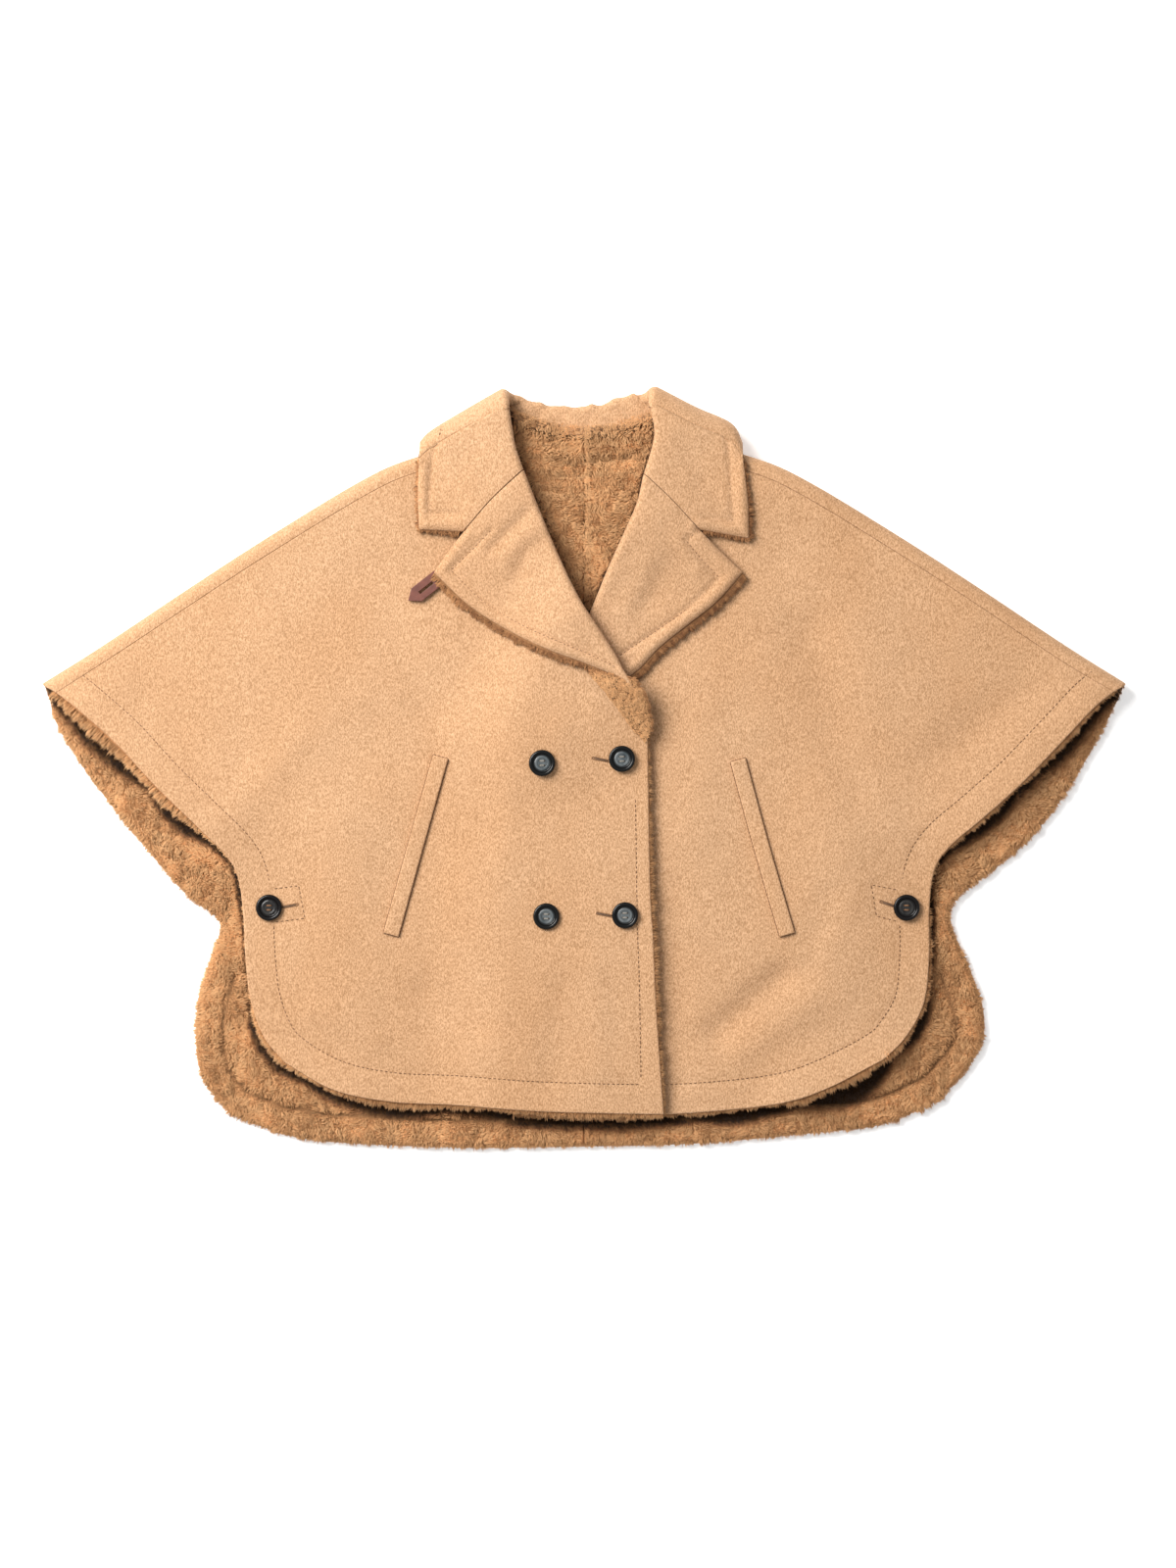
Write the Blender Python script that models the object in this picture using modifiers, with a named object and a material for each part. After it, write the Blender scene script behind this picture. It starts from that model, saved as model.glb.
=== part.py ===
"""A wool cape with a shearling lining, laid flat on its back with its fronts buttoned.

The tables below hold millimetres, and everything made from them is in metres.
+X is the wearer's left, +Y runs towards the collar and +Z is up. The back rests on z = 0.
Every cloth piece is a grid of points on its middle surface, made a wall by Solidify.
"""

import math

import bmesh
import bpy
import numpy as np

MM = 0.001

# Thicknesses and clearances
WOOL = 2.5  # double-faced coat cloth
PILE = 7.0  # shearling of the body lining
UNDER_PILE = 3.5  # shorter shearling under the collar and lapels
SEAM = 0.3  # between pieces that are sewn to each other
EASE = 1.2  # between pieces that only lie on each other
LOFT = 2.0  # between the two linings, where pile lies on pile
SEAT = 0.3  # under a button, where its thread holds it
WELT_SEAT = 0.9  # under a pocket welt, which is turned over its own edges

# Heights of the undersides of the layers where the cape lies flat
BACK_LINING_LEVEL = WOOL + SEAM
FRONT_LINING_LEVEL = BACK_LINING_LEVEL + PILE + LOFT
FRONT_SHELL_LEVEL = FRONT_LINING_LEVEL + PILE + SEAM
TURNED = EASE + UNDER_PILE + SEAM + WOOL  # how much a turned collar or lapel adds to a stack
OVERLAP_RISE = FRONT_SHELL_LEVEL + WOOL + EASE - FRONT_LINING_LEVEL

# The rounded folds
SHOULDER_SEAM_INSET = 15.0  # from the fold of the shoulder to its seam, which lies on the front
COLLAR_FOLD_INSET = 18.0  # from the fold of the collar to where it lies flat
ROLL_RADIUS = 4.0  # middle surface of the lapel's roll
NECK_ROLL_RADIUS = 6.3  # the same at the back of the neck
ROLL_HEM = 5.0  # how far the cloth goes on behind a roll
FOLD_SLACK = 1.8  # a layer inside the collar's fold lies this much further in than where it is flat
LEAST_LAPEL_WIDTH = 18.0  # where the lapel is narrower than this, the front's edge is not turned
LEAST_LINED_WIDTH = 34.0  # a lapel narrower than this has no shearling under it
LAPEL_ROWS = 13
PILE_REACH = 5.0  # how far the pile stands out past the wool's edge

# The shoulder fold from the wing's tip to the neck, one half. The halves mirror each other.
SHOULDER = [(519, 80), (465, 114), (390, 164), (315, 213), (240, 259), (190, 286), (150, 300), (84, 319)]

# Outlines. side is -1 on the wearer's right and +1 on the wearer's left, and x is measured outwards.
FRONT_WING = {  # from the tip's inset point round the arm opening to the corner of the hem
    -1: [(504, 71), (483, 55), (446, 22), (409, -18), (371, -55), (343, -83), (331, -105), (326, -140),
         (324, -180), (319, -222), (306, -258), (286, -282)],
    1: [(506, 72), (487, 57), (454, 22), (416, -17), (379, -50), (350, -75), (335, -98), (330, -135),
        (330, -180), (325, -225), (308, -257), (286, -279)],
}
FRONT_HEM = {  # from that corner to the front edge
    -1: [(286, -282), (240, -308), (184, -320), (118, -323), (48, -328), (-13, -330), (-76, -331)],
    1: [(286, -279), (229, -308), (182, -322), (110, -330), (40, -333), (-20, -332), (-69, -331)],
}
BACK_WING = {
    -1: [(513, 65), (508, 45), (483, 3), (452, -39), (417, -82), (380, -124), (350, -148), (357, -178),
         (369, -215), (373, -255), (367, -297), (340, -333)],
    1: [(513, 66), (506, 52), (489, 20), (462, -25), (431, -65), (396, -96), (360, -124), (352, -148),
        (371, -195), (384, -238), (377, -275), (342, -319)],
}
BACK_HEM = [(-340, -333), (-277, -355), (-202, -362), (-109, -365), (0, -364), (109, -361), (219, -351),
            (285, -343), (342, -319)]
NECK_HALF_WIDTH = 65
NECK_SEAM_LOW, NECK_SEAM_BEND = 315, 0.0033  # the seam's height at the centre and how it curves up

# The roll lines, from the gorge seam down to the break, and the front edges below it, in x and y
ROLL = {
    -1: [(-57.8, 283.6), (-43, 246), (-24, 201), (-4, 160), (19, 125), (40, 91), (56, 59)],
    1: [(56.8, 279.6), (51, 254), (41, 230), (22, 188), (4, 145), (-18, 105), (-40, 68), (-52, 50)],
}
ROLL_AT_NECK = {
    -1: [(-58, 284.4), (-65, 305), (-68, 321), (-72, 346)],
    1: [(57, 280.4), (64, 303), (67, 321), (68, 346)],
}
FRONT_EDGE = {
    -1: [(60, 44), (61, 7), (63, -110), (66, -163), (69, -230), (76, -331)],
    1: [(-56, 38), (-60, 0), (-64, -110), (-67, -220), (-69, -331)],
}
LAPEL_TOP = {  # the gorge seam and the notch edge, from the roll line to the tip
    -1: [(-57.8, 283.6), (-86, 257), (-113, 226), (-129, 206), (-143, 186)],
    1: [(56.8, 279.6), (80, 258), (108, 228), (130, 206), (151, 186)],
}
LAPEL_EDGE = {  # from the tip down to the break
    -1: [(-143, 186), (-109, 154), (-71, 130), (-34, 112), (4, 98), (30, 86), (50, 68)],
    1: [(151, 186), (126, 158), (97, 135), (71, 114), (46, 89), (0, 66), (-42, 50)],
}
COLLAR_END = {  # the collar's own end, from the gorge seam to its corner
    -1: [(-113, 227.5), (-157, 227.5)],
    1: [(108, 229.5), (157, 219)],
}
GORGE = {
    -1: [(-58, 284.4), (-86, 258), (-113, 227.5)],
    1: [(57, 280.4), (80, 259), (108, 229.5)],
}
COLLAR_EDGE = {-1: [(-157, 227.5), (-158, 256), (-158, 285)], 1: [(157, 219), (156, 251), (154, 287)]}
COLLAR_FOLD = {  # where the collar turns under at the shoulder, from the roll line to its edge
    -1: [(-77, 363), (-112, 343), (-145, 323), (-157, 311)],
    1: [(67, 365), (104, 346), (139, 330), (151, 310)],
}
COLLAR_BACK_ROLL = [(-61, 355), (-43, 347), (-20, 344), (0, 344), (20, 347), (38, 354), (52, 358)]
COLLAR_BACK_EDGE = [(-150, 287), (-110, 264), (-55, 252), (0, 249), (55, 252), (108, 264), (146, 289)]

# Long soft folds of the fronts: the ridge's two ends, its reach to each side and its height
FOLDS = [
    ("right wing mouth", (-478, 45), (-372, -62), 46, 8.0),
    ("left wing mouth", (484, 45), (380, -58), 46, 9.0),
    ("left hem pocket", (205, -322), (292, -292), 34, 8.0),
    ("right hem pocket", (-285, -300), (-230, -322), 26, 4.0),
    ("right body", (-235, -60), (-225, -215), 42, 3.0),
    ("left body", (250, -40), (238, -210), 42, 3.5),
]

# How much nearer together the grids' points are towards the neck and the front edges
NECK_CROWD = 1.3
ROW_CROWD = 1.35

# The trim
BUTTON_RADIUS = 12.6
BUTTON_HEIGHT = 4.5
BUTTONS = {  # name: centre x, centre y, side of the front that it lies on
    "button_front_upper_right": (-40, 4, -1),
    "button_front_upper_left": (36, 8, -1),
    "button_front_lower_right": (-36, -142, -1),
    "button_front_lower_left": (39, -141, -1),
    "button_side_right": (-301, -134, -1),
    "button_side_left": (308, -134, 1),
}
WELTS = {  # the pocket welt's upper and lower end, on its middle line
    -1: [(-137, 10), (-161, -75), (-184.5, -160)],
    1: [(147, 7), (169, -74), (194, -160)],
}
WELT_HALF_WIDTH = 7.5
TAB_OUTLINE = [(-143, 188), (-165, 171), (-168, 159), (-155, 158.5), (-132.5, 176.5)]
TAB_SLOT = ((-157.2, 166.6), (-144.6, 176.4))
TAB_SLOT_WIDTH = 2.6
TAB_THICKNESS = 3.0


# ---------------------------------------------------------------- curves and grids in plan


def smooth(points, count, crowd=1.0):
    """count points along a Catmull-Rom curve through the given ones.

    They are evenly spaced, or nearer together towards the start where crowd is over 1.
    """
    p = np.array(points, float)
    p = np.vstack((2 * p[0] - p[1], p, 2 * p[-1] - p[-2]))
    t = np.linspace(0, 1, 16, endpoint=False)[:, None]
    spans = []
    for a, b, c, d in zip(p, p[1:], p[2:], p[3:]):
        spans.append(b + (c - a) * t / 2 + (2 * a - 5 * b + 4 * c - d) * t**2 / 2
                     + (3 * b - a - 3 * c + d) * t**3 / 2)
    curve = np.vstack((*spans, p[-2]))
    along = np.append(0, np.cumsum(np.linalg.norm(np.diff(curve, axis=0), axis=1)))
    wanted = along[-1] * np.linspace(0, 1, count) ** crowd
    return np.column_stack([np.interp(wanted, along, curve[:, k]) for k in range(curve.shape[1])])


def chain(*stretches):
    """Curves joined end to end, each given as its points and its count of spans."""
    parts = [smooth(points, spans + 1) for points, spans in stretches]
    return np.vstack([part[:-1] for part in parts[:-1]] + [parts[-1]])


def mirrored(points, side):
    """Points measured outwards from the centre line, placed on one side of it."""
    return [(side * x, y) for x, y in points]


def patch(near, far, start, end, crowd=(1.0, 1.0)):
    """A Coons patch. near and far run down its rows, start and end across its first and last row.

    crowd is the crowding of the points down the rows and across the columns.
    """
    v = np.linspace(0, 1, len(near))[:, None, None] ** crowd[0]
    u = np.linspace(0, 1, len(start))[None, :, None] ** crowd[1]
    across = (1 - u) * near[:, None] + u * far[:, None]
    down = (1 - v) * start[None] + v * end[None]
    corners = (1 - v) * ((1 - u) * near[0] + u * far[0]) + v * ((1 - u) * near[-1] + u * far[-1])
    return across + down - corners


def grown(grid, near=0.0, far=0.0, start=0.0, end=0.0):
    """The grid with its edges moved outwards in plan. far may be a list with a value for each row."""
    moved = grid.copy()

    def push(edge, inner, distance):
        outwards = edge - inner
        return outwards / np.linalg.norm(outwards, axis=-1, keepdims=True) * distance

    far = np.broadcast_to(np.array(far, float), len(grid))[:, None]
    moved[:, 0] += push(grid[:, 0], grid[:, 1], near)
    moved[:, -1] += push(grid[:, -1], grid[:, -2], far)
    moved[0] += push(grid[0], grid[1], start)
    moved[-1] += push(grid[-1], grid[-2], end)
    return moved


def neck_seam(x):
    return NECK_SEAM_LOW + NECK_SEAM_BEND * x**2


def unit(vector):
    return np.array(vector, float) / np.linalg.norm(vector)


def unit_rows(vectors):
    return vectors / np.linalg.norm(vectors, axis=-1, keepdims=True)


def turned_right(direction):
    return np.column_stack((direction[:, 1], -direction[:, 0]))


# ---------------------------------------------------------------- heights


def ease_step(t):
    t = np.clip(t, 0, 1)
    return t * t * (3 - 2 * t)


def off_segment(x, y, a, b):
    """Distance from a segment, and how far along it the nearest point lies, from 0 to 1."""
    (ax, ay), (bx, by) = a, b
    dx, dy = bx - ax, by - ay
    t = np.clip(((x - ax) * dx + (y - ay) * dy) / (dx * dx + dy * dy), 0, 1)
    return np.hypot(x - ax - t * dx, y - ay - t * dy), t


def neck_rise(x, y):
    """The back lies over the collar's fall, so every layer of the body climbs there."""
    reach = np.hypot((x + 2) / 160, (y - 330) / 82)
    return TURNED * (1 - ease_step((reach - 1.1) / 1.1))


def fold_height(x, y):
    height = np.zeros(np.shape(x))
    for _, a, b, reach, rise in FOLDS:
        height = height + rise * np.exp(-((off_segment(x, y, a, b)[0] / reach) ** 2))
    return height


def overlap_rise(x, y):
    """The wearer's right front lies over the left one, and over its lapel below the crossing."""
    left_edge = np.where(y > 38, -58 + (y - 38) * 0.57, -58 - (38 - y) * 0.03)
    over_front = ease_step((x - left_edge + 92) / 86)
    distance, along = off_segment(x, y, (22, 118), (-48, 46))
    over_lapel = 1 - ease_step((distance - 38 + 26 * along) / 90)
    return OVERLAP_RISE * over_front + TURNED * over_lapel


def front_level(x, y, side):
    """How far a front lies above its place on a flat cape."""
    level = neck_rise(x, y) + fold_height(x, y)
    return level + overlap_rise(x, y) if side < 0 else level


def raised(plan, height):
    return np.dstack((plan, height))


def front_top(x, y, side):
    return FRONT_SHELL_LEVEL + WOOL + front_level(x, y, side)


# ---------------------------------------------------------------- folds and rolls


def folded(edge, upper, lower, high, low, steps):
    """Rows that turn from the upper inset line over a rounded edge to the lower inset line.

    edge is the outline of the fold. upper and lower are plan points that lie flat, at heights high
    and low. Gives the rows and, for each, its angle from the horizontal.
    """
    radius = ((high - low) / 2)[:, None]
    middle = (high + low) / 2
    angles = np.linspace(math.pi / 2, -math.pi / 2, steps)
    rows = []
    for angle in angles:
        blend = (1 + math.sin(angle)) / 2
        inner = blend * upper + (1 - blend) * lower
        inset = np.linalg.norm(inner - edge, axis=1)[:, None]
        share = (radius * (1 - math.cos(angle)) + WOOL / 2) / inset
        plan = edge + (inner - edge) * share
        rows.append(np.column_stack((plan, middle + radius[:, 0] * math.sin(angle))))
    return rows, angles


def with_roll(grid, normals, radii, hems, steps=5):
    """The grid with columns added before its first: each row rolls over and under its near edge."""
    rolled = []
    for row, normal, radius, hem in zip(grid, normals, radii, hems):
        across = unit(row[1] - row[0])
        centre = row[0] - normal * radius
        column = [centre + across * hem - normal * radius]
        for angle in np.linspace(-math.pi / 2, math.pi / 2, steps + 1)[:-1]:
            column.append(centre - across * radius * math.cos(angle) + normal * radius * math.sin(angle))
        rolled.append(np.vstack((column, row)))
    return np.array(rolled)


# ---------------------------------------------------------------- the pieces' grids


def shoulder_lines(side, count):
    """The shoulder's fold from neck to tip, with the inset lines of the front and of the back."""
    edge = smooth(mirrored(SHOULDER[::-1], side), count, NECK_CROWD)
    inwards = unit_rows(turned_right(np.gradient(edge, axis=0))) * side
    front = edge + inwards * SHOULDER_SEAM_INSET
    back = front.copy()
    front[-1] = mirrored(FRONT_WING[side][:1], side)[0]
    back[-1] = mirrored(BACK_WING[side][:1], side)[0]
    return edge, front, back


def back_plan(shoulder_spans, neck_spans, rows):
    """The back's plan grid: rows run from the wearer's right to the left, from the neck to the hem."""
    right = shoulder_lines(-1, shoulder_spans + 1)[2][::-1]
    left = shoulder_lines(1, shoulder_spans + 1)[2]
    across = np.linspace(-NECK_HALF_WIDTH, NECK_HALF_WIDTH, neck_spans - 1)
    top = np.vstack((right, np.column_stack((across, neck_seam(across))), left))
    bottom = smooth(BACK_HEM, len(top))
    right_wing = smooth(mirrored(BACK_WING[-1], -1), rows + 1, ROW_CROWD)
    left_wing = smooth(mirrored(BACK_WING[1], 1), rows + 1, ROW_CROWD)
    return patch(right_wing, left_wing, top, bottom, (ROW_CROWD, 1.0))


def back_shell_grid(shoulder_spans, neck_spans, rows, turns):
    """The back with the rows that wrap over the shoulders to the front, and which faces to keep."""
    plan = back_plan(shoulder_spans, neck_spans, rows)
    flat = raised(plan, neck_rise(plan[..., 0], plan[..., 1]) + WOOL / 2)
    columns = plan.shape[1]
    wrap = np.zeros((turns + 1, columns, 3))
    for side, place in ((-1, slice(0, shoulder_spans + 1)), (1, slice(columns - shoulder_spans - 1, columns))):
        edge, front, back = shoulder_lines(side, shoulder_spans + 1)
        high = front_top(front[:, 0], front[:, 1], side) - WOOL / 2
        low = neck_rise(back[:, 0], back[:, 1]) + WOOL / 2
        rows_over, _ = folded(edge, front, back, high, low, turns)
        seam = front + unit_rows(edge - front) * SEAM
        block = np.array([np.column_stack((seam, high)), *rows_over])
        wrap[:, place] = block[:, ::-1] if side < 0 else block
    neck_columns = range(shoulder_spans, columns - shoulder_spans - 1)
    skipped = {(i, j) for i in range(turns + 1) for j in neck_columns}
    return np.vstack((wrap, flat)), skipped


def roll_inset(side, count):
    """The front's own edge: behind the roll, and out to it below the end of the turned lapel."""
    line = smooth(ROLL_AT_NECK[side][::-1][1:] + ROLL[side][1:], count)
    inwards = unit_rows(turned_right(np.gradient(line, axis=0)))
    if side > 0:
        inwards = -inwards
    lapel_end = lapel_plan(side, 1, 0.0)[-1, 0, 1]
    taper = np.clip((line[:, 1] - lapel_end + 36) / 20, 0, 1)
    return line + inwards * (ROLL_RADIUS + WOOL / 2 + ROLL_HEM + EASE) * taper[:, None]


def front_plan(side, columns, roll_rows, edge_rows):
    """A front's plan grid: rows run from its inner edge outwards, columns from shoulder to hem."""
    shoulder = shoulder_lines(side, columns + 1)[1]
    inner = roll_inset(side, 16)
    inner[0] = shoulder[0]
    near = chain((list(map(tuple, inner)), roll_rows), ([inner[-1], *FRONT_EDGE[side]], edge_rows))
    rows = len(near) - 1
    far = smooth(mirrored(FRONT_WING[side], side), rows + 1)
    hem = smooth(mirrored(FRONT_HEM[side][::-1], side), columns + 1, NECK_CROWD)
    return patch(near, far, shoulder, hem, (1.0, NECK_CROWD))


def front_grid(side, under, thickness, plan):
    height = under + thickness / 2 + front_level(plan[..., 0], plan[..., 1], side)
    return raised(plan, height)


def on_front(plan, side, above):
    """Points that lie a given height above the front's wool."""
    return raised(plan, front_top(plan[..., 0], plan[..., 1], side) + above)


def lapel_plan(side, columns, inset):
    """The turned lapel between its roll line and its edge, down to where it is too narrow to turn."""
    roll = smooth(ROLL[side], LAPEL_ROWS + 1)
    far = smooth(LAPEL_EDGE[side], LAPEL_ROWS + 1)
    top = smooth(LAPEL_TOP[side], columns + 1)
    bottom = np.linspace(roll[-1], far[-1], columns + 1)
    plan = patch(roll, far, top, bottom)
    width = np.abs(np.sum((far - roll) * turned_right(unit_rows(np.gradient(roll, axis=0))), axis=1))
    plan = plan[width > LEAST_LAPEL_WIDTH]
    share = np.linspace(1, 0, columns + 1)[None, :, None]
    return plan + unit_rows(plan[:, -1:] - plan[:, :1]) * inset * share


def lapel_shell_grid(side, columns):
    plan = lapel_plan(side, columns, ROLL_RADIUS + WOOL / 2)
    grid = on_front(plan, side, EASE + UNDER_PILE + SEAM + WOOL / 2)
    rows = len(grid)
    up = np.tile((0.0, 0.0, 1.0), (rows, 1))
    return with_roll(grid, up, np.full(rows, ROLL_RADIUS), np.full(rows, ROLL_HEM))


def lapel_lining_grid(side, columns):
    """The shearling under the lapel. Its rim shows along the lower edge and not at the tip."""
    plan = lapel_plan(side, columns, ROLL_RADIUS + 2 * WOOL)
    width = np.linalg.norm(plan[:, -1] - plan[:, 0], axis=1)
    plan = plan[width > LEAST_LINED_WIDTH]
    rim = np.interp(np.arange(len(plan)), (0, 1, 3), (-4.0, -1.0, PILE_REACH))
    plan = grown(plan, far=rim, start=-1.0)
    return on_front(plan, side, EASE + UNDER_PILE / 2)


def collar_half(side, rows, columns):
    """One top half of the collar, from its end to the fold, with the fold's three lines."""
    edge = smooth(COLLAR_FOLD[side], columns + 1)
    share = np.linspace(0, 1, columns + 1)[:, None]
    upper_way = unit_rows((1 - share) * (-side * 0.28, -0.96) + share * np.array((0.0, -1.0)))
    lower_way = unit_rows((1 - share) * (-side * 0.85, -0.5) + share * (-side * 0.45, -0.9))
    upper = edge + upper_way * COLLAR_FOLD_INSET
    lower = edge + lower_way * COLLAR_FOLD_INSET
    gorge_spans = round(columns * 0.6)
    start = chain((GORGE[side], gorge_spans), (COLLAR_END[side], columns - gorge_spans))
    near = smooth([*ROLL_AT_NECK[side][:-1], upper[0]], rows + 1)
    far = smooth([*COLLAR_EDGE[side][:-1], upper[-1]], rows + 1)
    return patch(near, far, start, upper), edge, upper, lower


def collar_grid(rows, columns, turns, back_rows, depth, reach):
    """The whole collar as one band, from gorge seam to gorge seam round the back of the neck.

    depth is how far this layer lies inside the collar's outer face, and reach how far its edge
    stands out past the wool's. Gives the band and the outward normal of each row.
    """
    top = EASE + UNDER_PILE + SEAM + WOOL - depth
    blocks = []
    normals = []
    backs = {}
    for side in (-1, 1):
        plan, edge, upper, lower = collar_half(side, rows, columns)
        plan = grown(plan, far=reach)
        flat = on_front(plan, side, top)
        high = front_top(upper[:, 0], upper[:, 1], side) + top
        low = np.full(columns + 1, depth)
        inwards = unit_rows(upper + lower - 2 * edge)
        inset = FOLD_SLACK * (depth - WOOL / 2)
        rows_over, angles = folded(edge + inwards * inset, upper, lower, high, low, turns)
        out = np.append(-inwards[0], 0)
        over_normals = [out * math.cos(a) + np.array((0, 0, math.sin(a))) for a in angles]
        block = np.array([*flat[:-1], *rows_over])
        block_normals = [np.array((0.0, 0.0, 1.0))] * rows + over_normals
        blocks.append(block)
        normals.append(block_normals)
        backs[side] = lower
    roll = smooth([backs[-1][0], *COLLAR_BACK_ROLL[1:-1], backs[1][0]], back_rows + 1)
    fall = smooth([backs[-1][-1], *COLLAR_BACK_EDGE[1:-1], backs[1][-1]], back_rows + 1)
    under = patch(roll, fall, backs[-1], backs[1])
    under = grown(under, far=reach)
    under = raised(under, np.full(under.shape[:2], depth))
    down = [np.array((0.0, 0.0, -1.0))] * (back_rows - 1)
    band = np.array([*blocks[0], *under[1:-1], *blocks[1][::-1]])
    return band, np.array([*normals[0], *down, *normals[1][::-1]])


def collar_shell_grid(rows, columns, turns, back_rows):
    band, normals = collar_grid(rows, columns, turns, back_rows, WOOL / 2, 0.0)
    inset = ROLL_RADIUS + WOOL / 2
    band[:, 0] += unit_rows(band[:, 1] - band[:, 0]) * inset
    under = (1 - normals[:, 2]) / 2
    radii = ROLL_RADIUS + (NECK_ROLL_RADIUS - ROLL_RADIUS) * under
    hems = np.full(len(band), ROLL_HEM)
    for k in range(rows + turns - 1, rows + turns + back_rows):
        seam = neck_seam(band[k, 0, 0]) + EASE + SEAM
        hems[k] = max(ROLL_HEM, band[k, 0, 1] - seam)
    return with_roll(band, normals, radii, hems)


def collar_lining_grid(rows, columns, turns, back_rows):
    depth = WOOL + SEAM + UNDER_PILE / 2
    band, _ = collar_grid(rows, columns, turns, back_rows, depth, PILE_REACH - 2)
    band[:, 0] += unit_rows(band[:, 1] - band[:, 0]) * (ROLL_RADIUS + 2 * WOOL)
    return band


def welt_grid(side, rows, columns):
    line = smooth(WELTS[side], rows + 1)
    sideways = unit_rows(turned_right(np.gradient(line, axis=0))) * WELT_HALF_WIDTH
    share = np.linspace(-1, 1, columns + 1)[None, :, None]
    plan = line[:, None] + sideways[:, None] * share
    return on_front(plan, side, WELT_SEAT + WOOL / 2)


# ---------------------------------------------------------------- making objects


def clear_scene():
    for item in list(bpy.data.objects):
        bpy.data.objects.remove(item, do_unlink=True)


def new_material(name, colour, roughness):
    material = bpy.data.materials.new(name)
    material.use_nodes = True
    shader = material.node_tree.nodes["Principled BSDF"]
    shader.inputs["Base Color"].default_value = (*colour, 1.0)
    shader.inputs["Roughness"].default_value = roughness
    return material


def add_object(name, data, collection, finish):
    """finish names the material and gives its colour and roughness."""
    item = bpy.data.objects.new(name, data)
    collection.objects.link(item)
    data.materials.clear()
    data.materials.append(new_material(f"{name}_{finish[0]}", finish[1], finish[2]))
    return item


def add_wall(name, grid, thickness, collection, finish, skipped=()):
    """A cloth wall round a grid of middle points."""
    rows, columns = grid.shape[:2]
    body = bmesh.new()
    points = [[body.verts.new(point * MM) for point in row] for row in grid]
    for i in range(rows - 1):
        for j in range(columns - 1):
            if (i, j) not in skipped:
                body.faces.new((points[i][j], points[i][j + 1], points[i + 1][j + 1], points[i + 1][j]))
    bmesh.ops.delete(body, geom=[v for v in body.verts if not v.link_faces], context="VERTS")
    mesh = bpy.data.meshes.new(name)
    body.to_mesh(mesh)
    body.free()
    mesh.shade_smooth()
    item = add_object(name, mesh, collection, finish)
    wall = item.modifiers.new("wall", "SOLIDIFY")
    wall.thickness = thickness * MM
    wall.offset = 0
    return item


def button_mesh(cutters):
    """A turned coat button with a raised rim, a dish and four sewing holes."""
    profile = [(0.0, 2.6), (7.6, 2.6), (8.8, 3.4), (10.0, BUTTON_HEIGHT), (11.6, BUTTON_HEIGHT),
               (BUTTON_RADIUS, 3.4), (BUTTON_RADIUS, 2.0), (10.6, 0.4), (8.0, 0.0), (0.0, 0.0)]
    mesh = bpy.data.meshes.new("button_profile")
    mesh.from_pydata([(r * MM, 0, z * MM) for r, z in profile],
                     [(k, k + 1) for k in range(len(profile) - 1)], [])
    turned = bpy.data.objects.new("button_profile", mesh)
    cutters.objects.link(turned)
    screw = turned.modifiers.new("turn", "SCREW")
    screw.steps = screw.render_steps = 20
    screw.use_merge_vertices = True
    screw.merge_threshold = 0.00001

    holes = bmesh.new()
    for x in (-2.1, 2.1):
        for y in (-2.1, 2.1):
            made = bmesh.ops.create_cone(holes, cap_ends=True, segments=6, radius1=0.9 * MM,
                                         radius2=0.9 * MM, depth=12 * MM)
            bmesh.ops.translate(holes, verts=made["verts"], vec=(x * MM, y * MM, 0))
    hole_mesh = bpy.data.meshes.new("button_holes")
    holes.to_mesh(hole_mesh)
    holes.free()
    cutter = bpy.data.objects.new("button_holes", hole_mesh)
    cutters.objects.link(cutter)
    drill = turned.modifiers.new("holes", "BOOLEAN")
    drill.operation = "DIFFERENCE"
    drill.object = cutter

    for helper in (turned, cutter):
        helper.hide_render = True
        helper.display_type = "WIRE"
    bpy.context.view_layer.update()
    made = bpy.data.meshes.new_from_object(turned.evaluated_get(bpy.context.evaluated_depsgraph_get()))
    made.shade_smooth()
    made.set_sharp_from_angle(angle=math.radians(35))
    return made


def add_buttons(collection, cutters, horn, dark_horn):
    turned = button_mesh(cutters)
    for name, (x, y, side) in BUTTONS.items():
        finish = dark_horn if "side" in name else horn
        button = add_object(name, turned.copy(), collection, finish)
        around = [front_top(x + dx, y + dy, side) for dx in (-6, 0, 6) for dy in (-6, 0, 6)]
        button.location = (x * MM, y * MM, (max(around) + SEAT) * MM)


def add_tab(collection, finish):
    """The leather tab under the lapel's tip: a pointed strap end with a slot along it."""
    curve = bpy.data.curves.new("lapel_tab", "CURVE")
    curve.dimensions = "2D"
    curve.fill_mode = "BOTH"
    curve.extrude = TAB_THICKNESS / 2 * MM
    (ax, ay), (bx, by) = TAB_SLOT
    along = unit((bx - ax, by - ay))
    aside = np.array((-along[1], along[0])) * TAB_SLOT_WIDTH / 2
    slot = [np.array(TAB_SLOT[0]) - aside, np.array(TAB_SLOT[1]) - aside,
            np.array(TAB_SLOT[1]) + aside, np.array(TAB_SLOT[0]) + aside]
    for outline in (TAB_OUTLINE, slot):
        spline = curve.splines.new("POLY")
        spline.points.add(len(outline) - 1)
        for point, (x, y) in zip(spline.points, outline):
            point.co = (x * MM, y * MM, 0, 1)
        spline.use_cyclic_u = True
    item = add_object("lapel_tab", curve, collection, finish)
    resting = max(front_top(x, y, -1) for x, y in TAB_OUTLINE)
    item.location.z = (resting + SEAM + TAB_THICKNESS / 2) * MM


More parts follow.
